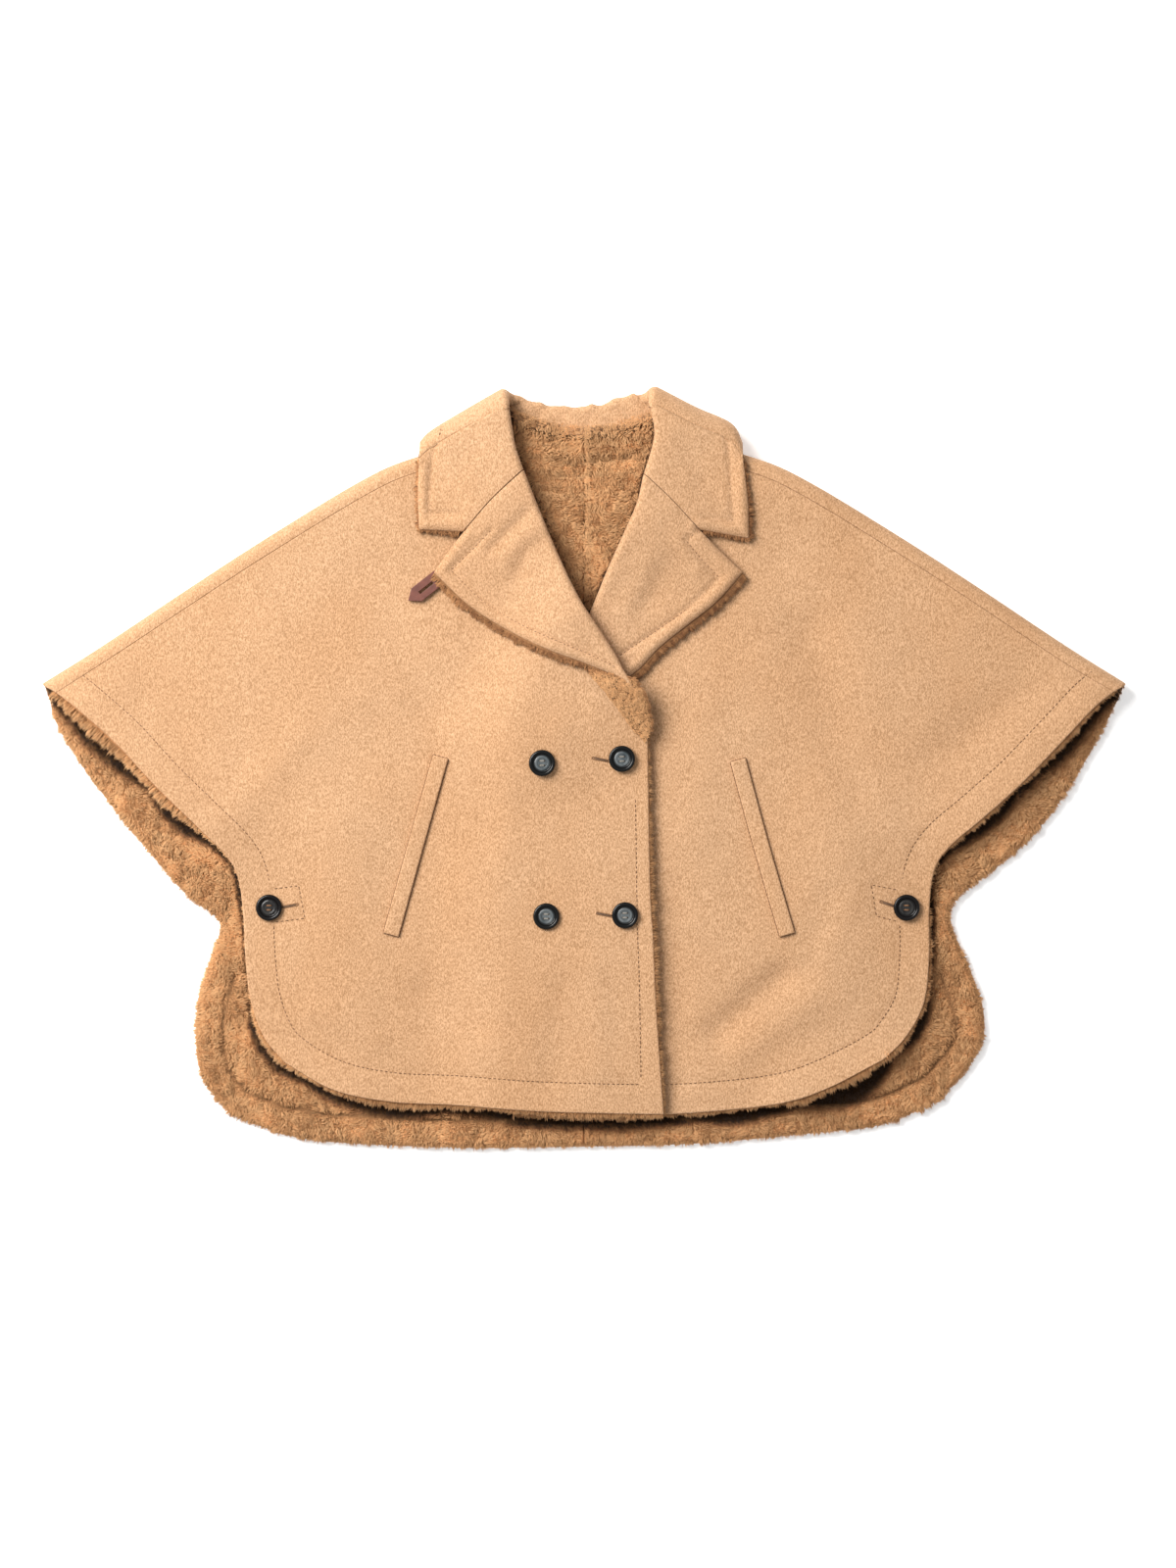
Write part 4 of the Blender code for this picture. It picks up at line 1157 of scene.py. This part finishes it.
def add_strands(name, roots, normals, lean, length, seed, light, lock, gather):
    """Soft pile: a bent blade at each root, drawn to its neighbours in locks of about that size.

    roots and lean, which is how far a tip moves over, are in millimetres. light scales the strand's
    tone as painted shade, from 0 deep in a gap to 1 in the open. The blades are shaded with the pile's own
    normals.
    """
    rng = np.random.default_rng(seed)
    count = len(roots)
    centre, own = locks_of(roots[:, :2], lock, seed + 5)
    to_centre = np.column_stack((centre - roots[:, :2], np.zeros(count)))
    long = length * (0.85 + 0.2 * own[:, 2]) * rng.uniform(0.88, 1.08, count)
    angle = 2 * math.pi * own[:, 3]
    drift = np.column_stack((np.cos(angle), np.sin(angle), np.zeros(count)))
    loose = rng.normal(0, 0.4, (count, 3)) * [1, 1, 0.3]
    rise = normals * long[:, None]
    tip = roots + rise * 0.72 + lean + to_centre * gather + drift * 1.1 + loose * 1.6
    middle = roots + rise * 0.5 + lean * 0.3 + to_centre * gather * 0.4 + drift * 0.2 + loose
    facing = normals * 0.6 + UP
    flat = np.cross(tip - roots, facing + rng.normal(0, 0.3, (count, 3)))
    flat = unit_rows(flat) * STRAND_WIDTH / 2
    turned = np.sum(np.cross(flat, tip - roots) * facing, axis=1) < 0
    flat[turned] *= -1
    points = np.stack((roots - flat, roots + flat, middle - flat * 0.9, middle + flat * 0.9, tip), axis=1)
    points[..., 2] = np.maximum(points[..., 2], 0.1)
    base = np.arange(count)[:, None] * 5
    faces = np.concatenate((base + [0, 1, 3], base + [0, 3, 2], base + [2, 3, 4]))
    mesh = mesh_of(name, points.reshape(-1, 3), faces)
    shade = 0.10 * (own[:, 4] - 0.5) + rng.normal(0, 0.06, count)
    foot = np.full(count, FOOT_TONE)
    tone = np.stack((foot, foot, *[MIDDLE_TONE + shade] * 2, TIP_TONE + shade), axis=1)
    set_tone(mesh, np.clip(tone * light[:, None], 0, 1))
    piece = place_piece(name, mesh, FUR_STRANDS)
    soft = unit_rows(normals + UP * 0.9 - to_centre * 0.035 + rng.normal(0, 0.1, (count, 3)))
    mesh.normals_split_custom_set_from_vertices(np.repeat(soft, 5, axis=0).tolist())
    return piece


def scattered(low, high, per_mm2, seed, wanted):
    """Points spread in plan over those squares of a rectangle whose centres are wanted."""
    rng = np.random.default_rng(seed)
    columns, rows = (int((b - a) / PATCH_SIDE) + 1 for a, b in zip(low, high))
    i, j = np.meshgrid(np.arange(columns), np.arange(rows))
    corners = np.column_stack((low[0] + i.ravel() * PATCH_SIDE, low[1] + j.ravel() * PATCH_SIDE))
    corners = corners[wanted(*(corners + PATCH_SIDE / 2).T)]
    spots = np.repeat(corners, round(per_mm2 * PATCH_SIDE * PATCH_SIDE), axis=0)
    return spots + rng.uniform(0, PATCH_SIDE, spots.shape)


def outward_from(line, centre):
    """Unit directions in plan across a line, on its side away from the centre."""
    across = turned_right(unit_rows(np.gradient(line, axis=0)))
    return across * np.sign((across * (line - centre)).sum(axis=1).mean())


def fringe_of(line, centre, depth, length, per_mm, seed, sag=-0.4):
    """The pile that stands out past an edge of 3-D points: roots, directions, lean and length."""
    outwards = outward_from(line[:, :2], centre)
    rng = np.random.default_rng(seed)
    along = run_of(line)
    at = rng.uniform(0, along[-1], int(along[-1] * per_mm))
    roots = np.column_stack([np.interp(at, along, values) for values in line.T])
    out = unit_rows(np.column_stack([np.interp(at, along, values) for values in outwards.T]))
    slope = rng.uniform(-1, 1, len(at))
    roots[:, 2] += slope * depth / 2 * 0.8
    roots[:, :2] -= out * (rng.uniform(0, 1, len(at)) * 3.0)[:, None]
    normals = unit_rows(np.column_stack((out * np.sqrt(1 - 0.35 * slope[:, None] ** 2), slope * 0.75)))
    uneven = np.random.default_rng(seed + 1).uniform(0.7, 1.2, len(roots))
    uneven += 0.22 * waves(*plan_of(roots), 8, seed)
    return roots, normals, UP * np.full((len(roots), 1), sag), length * uneven


def joined(groups):
    """Several groups of roots, directions, leans and lengths as one."""
    return [np.concatenate(parts) for parts in zip(*groups)]


def tufts_and_painted_shade(roots, normals):
    """How light the pile is at an edge that lies on cloth: painted shade, dark where it faces down, and
    uneven tufts elsewhere.
    """
    tufts = 0.16 * waves(*plan_of(roots), 7, 133)
    return np.interp(normals[:, 2], (-0.55, 0.0), (0.1, 0.58)) + tufts


# ---------------- sewing


def dash_points(centre, along, normal, length, width):
    """One stitch: a short thread that sinks at both ends."""
    side = np.cross(normal, along)
    rings = []
    for place, swell, rise in STITCH_RINGS:
        middle = centre + along * length * place + normal * rise * width
        for turn in range(4):
            angle = math.pi / 4 + turn * math.pi / 2
            ring = side * math.cos(angle) + normal * math.sin(angle)
            rings.append(middle + ring * width / 2 * swell)
    return rings


def dash_faces():
    faces = [(3, 2, 1, 0), (12, 13, 14, 15)]
    for ring in range(3):
        for k in range(4):
            a, b = ring * 4 + k, ring * 4 + (k + 1) % 4
            faces.append((a, b, b + 4, a + 4))
    return np.array(faces)


def add_dashes(name, dashes, material):
    """dashes holds the centre, direction, normal, length and width of each stitch."""
    points = [point for dash in dashes for point in dash_points(*dash)]
    faces = np.concatenate([dash_faces() + 16 * k for k in range(len(dashes))])
    return place_piece(name, mesh_of(name, np.array(points), faces), material)


def stitches_along(line, top, sink, pitch, length, width):
    """Stitches along a plan line. top gives the cloth's height at x and y."""
    count = max(1, int(run_of(line)[-1] / pitch))
    at = (np.arange(count) + 0.5) / count
    ahead = unit_rows(smooth(line, at + 0.3 / count) - smooth(line, at - 0.3 / count))
    rng = np.random.default_rng(count)
    dashes = []
    for (x, y), (dx, dy) in zip(smooth(line, at), ahead):
        climb = (float(top(x + dx, y + dy)) - float(top(x - dx, y - dy))) / 2
        along = unit((dx, dy, climb))
        normal = unit(np.cross(np.cross(along, UP), along))
        centre = np.array((x, y, float(top(x, y)) - sink))
        dashes.append((centre, along, normal, length * rng.uniform(0.88, 1.06), width))
    return dashes


def flat_dash(place, along, top, lift, length, width):
    """A stitch that lies level on the cloth."""
    centre = np.array((*place, float(top(*place)) + lift))
    return centre, np.append(along, 0), UP, length, width


def slit(a, b, top):
    """A dark dash of painted shade in the opening of a buttonhole."""
    return flat_dash((a + b) / 2, unit(b - a), top, 0.25, float(np.linalg.norm(b - a)), 1.0)


def buttonhole(a, b, top):
    """A worked buttonhole: close thread bars round a slit."""
    along = unit(b - a)
    aside = np.array((-along[1], along[0]))
    dashes = []
    for k in range(HOLE_BARS):
        middle = a + (b - a) * (k + 0.5) / HOLE_BARS
        dashes += [flat_dash(middle + aside * way * 0.95, aside, top, 0.05, 1.7, 0.7) for way in (-1, 1)]
    for end, way in ((a, -1), (b, 1)):
        dashes.append(flat_dash(end + along * way * 0.5, aside, top, 0.1, 3.2, 0.9))
    return dashes


# ---------------- buttons and tab


BUTTON_PROFILE = [  # radius and height, from the middle of the dish over the rim to the seat
    (0.0, 2.55), (3.6, 2.5), (4.6, 2.45), (5.2, 2.75), (5.8, 2.8), (6.6, 2.75), (7.2, 2.4), (7.8, 2.35),
    (8.4, 2.6), (8.9, 3.3), (9.3, 3.95), (9.9, 4.32), (10.6, 4.48), (11.3, 4.42), (11.9, 4.12),
    (12.35, 3.6), (12.6, 2.95), (12.55, 2.3), (12.1, 1.5), (11.2, 0.8), (9.8, 0.3), (8.0, 0.0), (0.0, 0.0),
]
HOLE_OFFSET = 2.1
HOLE_RADIUS = 0.95
BUTTON_TONES = ((HOLE_OFFSET + 2, 4.6, 5.2, 6.6, 7.2, 8.4), (1, 0.55, 1, 1, 0.2, 0))  # radii, tones


def button_mesh():
    """A turned button with a dish, a rounded rim and four sewing holes drilled through it."""
    body = bmesh.new()
    profile = [body.verts.new((r * MM, 0, z * MM)) for r, z in BUTTON_PROFILE]
    lines = [body.edges.new(pair) for pair in zip(profile, profile[1:])]
    bmesh.ops.spin(body, geom=profile + lines, cent=(0, 0, 0), axis=(0, 0, 1), angle=2 * math.pi,
                   steps=72, use_merge=True)
    bmesh.ops.remove_doubles(body, verts=body.verts, dist=0.01 * MM)
    bmesh.ops.recalc_face_normals(body, faces=body.faces)
    turned = bpy.data.meshes.new("button_turned")
    body.to_mesh(turned)
    body.free()
    holes = bmesh.new()
    for x in (-HOLE_OFFSET, HOLE_OFFSET):
        for y in (-HOLE_OFFSET, HOLE_OFFSET):
            made = bmesh.ops.create_cone(holes, cap_ends=True, segments=20, radius1=HOLE_RADIUS * MM,
                                         radius2=HOLE_RADIUS * MM, depth=12 * MM)
            bmesh.ops.translate(holes, verts=made["verts"], vec=(x * MM, y * MM, 0))
    drilled = bpy.data.meshes.new("button_holes")
    holes.to_mesh(drilled)
    holes.free()
    blank, cutter = (put(mesh.name, mesh) for mesh in (turned, drilled))
    blank.modifiers.new("holes", "BOOLEAN").object = cutter
    return evaluated_mesh(blank, cutter)


def add_buttons():
    """Six buttons, each with the two double threads that sew it on."""
    shape = button_mesh()
    for name, (x, y) in BUTTONS.items():
        low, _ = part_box(name)
        mesh = shape.copy()
        across = np.array([math.hypot(*vertex.co[:2]) for vertex in mesh.vertices]) / MM
        set_tone(mesh, np.interp(across, *BUTTON_TONES))
        mesh.transform(Matrix.Translation((x * MM, y * MM, low.z)))
        on_side = "side" in name
        finish, slot = (DARK_HORN, "dark_horn") if on_side else (HORN, "horn")
        place_piece(f"{name}_turned", mesh, finish, name)
        mesh.set_sharp_from_angle(angle=math.radians(38))
        dashes = []
        for way in (-1, 1):
            for shift in (-0.35, 0.35):
                centre = np.array((x, y + way * HOLE_OFFSET + shift, low.z / MM + 2.75))
                dashes.append((centre, np.array((1.0, 0, 0)), UP, 2 * HOLE_OFFSET + 1.0, 0.7))
        add_dashes(f"{name}_thread", dashes, HOLE_THREAD if on_side else GREY_THREAD)


def add_tab():
    """The leather tab under the lapel's tip: a pointed strap end with a slot, its edges rounded."""
    low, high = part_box("lapel_tab")
    curve = bpy.data.curves.new("tab_outline", "CURVE")
    curve.dimensions = "2D"
    curve.fill_mode = "BOTH"
    curve.extrude = TAB_HALF_THICKNESS * MM
    curve.bevel_depth = TAB_ROUND * MM
    curve.bevel_resolution = 3
    curve.offset = -TAB_ROUND * MM
    first, last = np.array(TAB_SLOT)
    along = unit(last - first)
    aside = np.array((-along[1], along[0])) * TAB_SLOT_HALF_WIDTH
    slot = [first - aside, last - aside, last + aside, first + aside]
    for outline in (TAB_OUTLINE, slot):
        spline = curve.splines.new("POLY")
        spline.points.add(len(outline) - 1)
        for point, (x, y) in zip(spline.points, outline):
            point.co = (x * MM, y * MM, 0, 1)
        spline.use_cyclic_u = True
    mesh = evaluated_mesh(put("tab_outline", curve))
    mesh.transform(Matrix.Translation((0, 0, (low.z + high.z) / 2)))
    mesh.materials.clear()
    place_piece("lapel_tab_leather", mesh, LEATHER, "lapel_tab")
    mesh.set_sharp_from_angle(angle=math.radians(50))


# ---------------- the pieces


def off_outline(x, y, outline):
    """How far outside a closed outline each place lies, negative inside it."""
    distance, _ = off_line(x, y, np.vstack((outline, outline[:1])))
    return np.where(inside(x, y, outline), -distance, distance)


def off_fronts(x, y, fronts):
    """How far outside both fronts each place lies, negative under one of them."""
    return np.minimum(*[off_outline(x, y, outline) for outline in fronts])


def blobs(x, y, table):
    """The greatest of the table's values, each fading with distance from its place."""
    values = [value * np.exp(-(((x - a) ** 2 + (y - b) ** 2) / reach**2)) for a, b, reach, value in table]
    return np.max(values, axis=0)


def painted_gap_shade(x, y, beyond):
    """Painted shade on the pile beside the fronts: how light it is, dark in the gaps below them, 1 in the
    open.
    """
    width = 1.5 + blobs(x, y, GAPS)
    return 0.03 + 0.97 * ease_step((beyond + 1 - 0.7 * width) / (0.5 * width + 2))


def pile_top(x, y):
    """The top of the back's pile, with its soft lumps and its wrinkles at the neck."""
    seamed = 5.0 * np.exp(-(((y - neck_seam(x) - 4) / 12) ** 2)) * (np.abs(x) < 80)
    dx, dy = x - SPOKES_AT[0], y - SPOKES_AT[1]
    spokes = np.sin(np.arctan2(dy, dx) * 40) * np.exp(-(((np.hypot(dx, dy) - 50) / 12) ** 2))
    spokes = spokes * (x > 300) * (y < -215)
    lumps = 0.8 * waves(x, y, 21, 41) + 0.36 * waves(x, y, 10, 51, 17) + 0.2 * waves(x, y, 5.5, 61, 17)
    lumps = lumps * np.where((np.abs(x) < 90) & (y > 60), 0.35, 1.0)
    wrinkles = 0.9 * np.where(y > 268, ridges(x, y, NECK_CREASES), 0.0)
    return back_lining_top(x, y) + lumps + wrinkles + seamed + 0.9 * spokes


def add_back():
    """The back: its wool, and the two halves of its shearling with their pile."""
    grid, skipped = back_shell_grid(BACK_STEP)
    add_cloth("back_wool", "wool", grid, WOOL, (WOOL_RIM, WOOL_RIM, SEAM_RIM, WOOL_RIM), "back_shell",
              skipped=skipped)

    fronts = [front_outline(side)[::3] for side in (-1, 1)]
    wings = [smooth(mirrored(BACK_WING[side], side), 60) for side in (-1, 1)]
    rim = np.vstack((wings[0], smooth(BACK_HEM, 90)[1:], wings[1][::-1][1:]))
    collar = [(84, 350), (-84, 350)]
    outline = np.vstack((rim, mirrored(SHOULDER, 1), collar, mirrored(SHOULDER[::-1], -1)))
    facing = rim - unit_rows(turned_right(np.gradient(rim, axis=0))) * FACING_WIDTH
    facing = facing[facing[:, 1] < -196]
    for side, word in SIDES:
        half = back_lining_grid(side, BACK_FUR_STEP)
        grid = raised(half, pile_top(*plan_of(half)) - PILE + SKIN / 2)
        strands = back_strands(side, word, fronts, outline, rim, facing, grid)
        skin = add_cloth(f"back_fur_{word}", "shearling", grid, SKIN, (FUR_RIM, FUR_RIM, 1.5, FUR_RIM),
                         f"back_lining_{word}")
        places = np.empty(len(skin.data.vertices) * 3, np.float32)
        skin.data.vertices.foreach_get("co", places)
        x, y = places.reshape(-1, 3)[:, :2].T / MM
        # The skin's tone is painted shade: dark in the gaps under the fronts and in the groove along the
        # facing seam.
        seam = 1 - 0.8 * np.exp(-((off_line(x, y, facing)[0] / 3.5) ** 2))
        set_tone(skin.data, painted_gap_shade(x, y, off_fronts(x, y, fronts)) * seam)


def back_strands(side, word, fronts, outline, rim, facing, skin):
    """The pile of one half of the back. It is parted along the seam of the facing."""
    low, high = ((-522, -368), (-0.4, 340)) if side < 0 else ((0.4, -368), (522, 340))
    x, y = scattered(low, high, STRANDS_PER_MM2, 60 + side, lambda x, y: (
        (off_fronts(x, y, fronts) > -18) & (off_outline(x, y, outline) < 6))).T
    beyond = off_fronts(x, y, fronts)
    to_rim, from_rim = off_line(x, y, rim)
    to_facing, away = off_line(x, y, facing)
    keep = (beyond > -12) & inside(x, y, outline) & (y < neck_seam(x) + 12) & (to_rim > 2.4)
    keep &= (to_facing > 1.9) & (np.abs(x) > 0.6)
    x, y, beyond, to_rim, to_facing = (values[keep] for values in (x, y, beyond, to_rim, to_facing))
    near_rim = np.clip(1 - to_rim / 8, 0, 1)
    parted = np.exp(-((to_facing / 3.0) ** 2))
    # Painted shade on the strands: dark in the gaps under the fronts and at the parting along the facing
    # seam.
    light = painted_gap_shade(x, y, beyond) * (1 - 0.6 * parted)
    height = pile_top(x, y) - PILE + SKIN - 0.8 - 2.2 * near_rim**2 - (1 - light) * 1.5
    slope = [pile_top(x - dx, y - dy) - pile_top(x + dx, y + dy) for dx, dy in ((0.5, 0), (0, 0.5))]
    edge, part = near_rim[:, None], parted[:, None]
    outwards = -from_rim[keep]
    tilt = np.clip(np.column_stack(slope), -0.8, 0.8) * 0.75 * (1 - edge)
    tilt = tilt + outwards * 0.95 * edge - away[keep] * 0.5 * part
    normals = unit_rows(np.column_stack((tilt, 1.05 - near_rim * 0.6)))
    sweep = 2 * math.pi * 0.35 * waves(x, y, 60, 70 + side)
    nap = np.column_stack((np.sin(sweep), -np.cos(sweep))) * 2.4
    lean = np.column_stack((nap * (1 - edge) + outwards * 1.2 * edge, -0.6 * near_rim))
    length = (BACK_STRAND - near_rim) * (1 - 0.35 * parted)
    pile = [(np.column_stack((x, y, height)), normals, lean, length)]
    for line in (skin[-1], skin[:, -1][skin[:, -1, 1] < 60]):
        pile.append(fringe_of(line, middle_of(skin), SKIN, RIM_STRAND, RIM_PER_MM, 90))
    pile = joined(pile)
    light = np.append(light, np.full(len(pile[0]) - len(light), RIM_TONE))
    return add_strands(f"back_fur_{word}_strands", *pile, 80 + side, light, 8.0, 0.18)


def fringed(plan):
    """A front lining's plan with its wing and hem moved out to where the pile stands past the wool."""
    moved = plan.copy()
    for line, inner in ((moved[:, -1], plan[:, -3]), (moved[-1], plan[-3])):
        line += unit_rows(line - inner) * 0.55 * blobs(*plan_of(line), FRINGES)[:, None]
    return moved


def add_front_fur(side, word, middle):
    """A front's shearling, which shows as a fringe past the wool."""
    plan = front_plan(side, FRONT_FUR_STEP)
    level = FRONT_LINING_LEVEL + PILE / 2 + front_level(*plan_of(plan), side)
    grid = raised(fringed(grown(plan, near=-1.0, far=-1.5, start=3.0, end=-1.5)), level)
    edges = [grid[:, -1], grid[-1], grid[:, 0][grid[:, 0, 1] < 38]]
    roots, normals, lean, length = joined(
        fringe_of(edge, middle, 6.0, FRONT_STRAND, FRONT_PER_MM, 100 + side + 7 * k, 1.3)
        for k, edge in enumerate(edges))
    length = length / FRONT_STRAND * (3.2 + 0.9 * blobs(*plan_of(roots), FRINGES))
    # Painted shade on the fringe: darker where the strands face down.
    light = np.interp(normals[:, 2], (-0.5, 0.0), (0.5, 1.06))
    strands = add_strands(f"front_fur_{word}_strands", roots, normals, lean, length, 110 + side, light,
                          6.0, 0.12)
    skin = add_cloth(f"front_fur_{word}", "shearling", grid, PILE, (FUR_RIM, FUR_RIM, 1.0, FUR_RIM),
                     f"front_{word}_lining")
    set_tone(skin.data, np.ones(len(skin.data.vertices)))


def add_front(side, word):
    """A front: its shearling, stitching and buttonholes, and its wool."""
    plan = front_plan(side, FRONT_STEP)
    x, y = plan_of(plan)
    lines = front_stitching(side)
    sunk = pressed(x, y, [line[::3] if len(line) > 8 else line for line in lines], *GROOVE)
    add_front_fur(side, word, middle_of(plan))

    def top(px, py):
        return front_top(px, py, side)

    slits = [np.array(ends, float) for *ends, lies_on in BUTTONHOLES if lies_on == side]
    sewn = [dash for line in lines for dash in stitches_along(line, top, *FRONT_SEWING)]
    sewn += [dash for line in welt_seam(side) for dash in stitches_along(line, top, *WELT_SEWING)]
    stitching = add_dashes(f"front_{word}_stitching", sewn, STITCH_THREAD_AND_SHADE)
    add_dashes(f"front_{word}_slits", [slit(a, b, top) for a, b in slits], SLIT_PAINTED_SHADE)
    worked = add_dashes(f"front_{word}_buttonholes",
                        [dash for a, b in slits for dash in buttonhole(a, b, top)], HOLE_THREAD)
    add_cloth(f"front_wool_{word}", "wool", raised(plan, front_top(x, y, side) - WOOL / 2 + sunk), WOOL,
              (WOOL_RIM, WOOL_RIM, SEAM_RIM, WOOL_RIM), f"front_{word}_shell")


def turned_stitches(side, part):
    def top(x, y):
        return turned_top(x, y, side) + turned_shape(x, y, side, part)

    return [dash for line in TURNED_STITCHING[side][part]
            for dash in stitches_along(line, top, *TURNED_SEWING)]


def break_fur(seed):
    """The pile that shows where the right lapel turns over, between its end and the front's edge."""
    spots = scattered((0, 18), (70, 100), BREAK_PER_MM2, seed, lambda x, y: np.full(x.shape, True))
    x, y = spots[inside(*spots.T, BREAK_FUR)].T
    height = front_top(x, y, -1) + 0.3 + TURNED * ease_step((y - 30) / 60)
    roots = np.column_stack((x, y, height - 1.5))
    distance, away = off_line(x, y, np.array(BREAK_FUR[:5], float))
    near = np.clip(1 - distance / 6, 0, 1)[:, None]
    normals = unit_rows(np.column_stack((-away * 0.9 * near, 1.1 - 0.5 * near[:, 0])))
    lean = np.tile((2.2, -2.8, 0.0), (len(x), 1))
    return roots, normals, lean, np.full(len(x), BREAK_STRAND)


def add_lapel(side, word):
    """A turned lapel: its shearling with the pile at its edge, its stitching and its wool."""
    grid = lapel_lining_grid(side)
    pile = [fringe_of(grid[:, -1][3:], middle_of(grid), 3.0, LAPEL_STRAND, LAPEL_PER_MM, 120 + side)]
    if side < 0:
        pile.append(break_fur(126))
    pile = joined(pile)
    roots, normals = pile[:2]
    # The lapel's fringe carries painted shade, dark where it faces down. The break's pile keeps its own
    # tone.
    light = np.where(normals[:, 2] > 0.8, BREAK_TONE, tufts_and_painted_shade(roots, normals))
    strands = add_strands(f"lapel_fur_{word}_strands", *pile, 130 + side, light, 4.5, 0.18)
    skin = add_cloth(f"lapel_fur_{word}", "shearling", grid, UNDER_PILE, (1.5, 1.5, 1.0, 1.0),
                     f"lapel_{word}_lining")
    set_tone(skin.data, np.full(len(skin.data.vertices), UNDER_PAINTED_SHADE))
    stitching = add_dashes(f"lapel_{word}_stitching", turned_stitches(side, "lapel"), STITCH_THREAD_AND_SHADE)
    shell = lapel_shell_grid(side)
    start = np.where(shell[0, :, 1] < 226, WOOL_RIM, SEAM_RIM)
    add_cloth(f"lapel_wool_{word}", "wool", shell, WOOL, (ROLLED_RIM, WOOL_RIM, start, 1.0),
              f"lapel_{word}_shell")


def add_collar():
    """The collar, made as the lapels are."""
    lining = collar_lining_grid()
    pile = []
    for end in (lining[:34], lining[:-35:-1]):
        for line in (end[:, -1], end[0, lining.shape[1] // 2:]):
            length = COLLAR_STRAND if pile else COLLAR_CLIPPED
            pile.append(fringe_of(line[line[:, 2] > 24], middle_of(end), 3.0, length, COLLAR_PER_MM,
                                  140 + len(pile)))
    pile = joined(pile)
    # The collar's fringe carries painted shade, dark where it faces down.
    strands = add_strands("collar_fur_strands", *pile, 150, tufts_and_painted_shade(*pile[:2]), 4.5, 0.3)
    skin = add_cloth("collar_fur", "shearling", lining, UNDER_PILE, (1.5, 1.5, 1.5, 1.5), "collar_lining")
    set_tone(skin.data, np.full(len(skin.data.vertices), UNDER_PAINTED_SHADE))
    sewn = [dash for side in (-1, 1) for dash in turned_stitches(side, "collar")]
    stitching = add_dashes("collar_stitching", sewn, STITCH_THREAD_AND_SHADE)
    shell = collar_shell_grid()
    ends = [np.where(np.abs(row[:, 0]) > 110, WOOL_RIM, SEAM_RIM) for row in (shell[0], shell[-1])]
    add_cloth("collar_wool", "wool", shell, WOOL, (ROLLED_RIM, WOOL_RIM, *ends), "collar_shell")


def add_welt(side, word):
    add_cloth(f"pocket_welt_{word}_wool", "wool", welt_grid(side), WOOL, (WELT_RIM,) * 4,
              f"pocket_welt_{word}")


# ---------------- stage


def add_stage():
    """A white floor, an even sky and one large window to the upper left."""
    corners = [(-FLOOR_SIZE, -FLOOR_SIZE, 0), (FLOOR_SIZE, -FLOOR_SIZE, 0),
               (FLOOR_SIZE, FLOOR_SIZE, 0), (-FLOOR_SIZE, FLOOR_SIZE, 0)]
    mesh = bpy.data.meshes.new("floor")
    mesh.from_pydata(corners, [], [(0, 1, 2, 3)])
    mesh.materials.append(floor_material("white_floor", (0.93, 0.93, 0.93), (0.95, 0.95, 0.95)))
    floor = put("floor", mesh)
    floor.location.z = -FLOOR_DROP

    world = bpy.data.worlds.new("studio")
    bpy.context.scene.world = world
    world.use_nodes = True
    set_inputs(world.node_tree.nodes["Background"], {"Color": (1.0, 1.0, 1.0, 1.0), "Strength": SKY_LIGHT})

    light = bpy.data.lights.new("window", "AREA")
    light.size = WINDOW_SIDE
    light.energy = WINDOW_POWER
    light.color = (1.0, 0.985, 0.96)
    window = put("window", light)
    window.location = WINDOW_PLACE
    window.rotation_euler = (-window.location).to_track_quat("-Z", "Y").to_euler()


def add_camera():
    """Straight above. The view is 1.5 m from top to bottom, where the cape lies."""
    data = bpy.data.cameras.new("camera")
    data.sensor_fit = "VERTICAL"
    data.sensor_height = 36
    data.lens = 100
    camera = put("camera", data)
    camera.location = CAMERA_PLACE
    bpy.context.scene.camera = camera
    bpy.context.scene.view_settings.view_transform = "Standard"


def build():
    add_stage()
    add_camera()
    add_back()
    for side, word in SIDES:
        add_front(side, word)
        add_lapel(side, word)
        add_welt(side, word)
    add_collar()
    add_buttons()
    add_tab()


build()
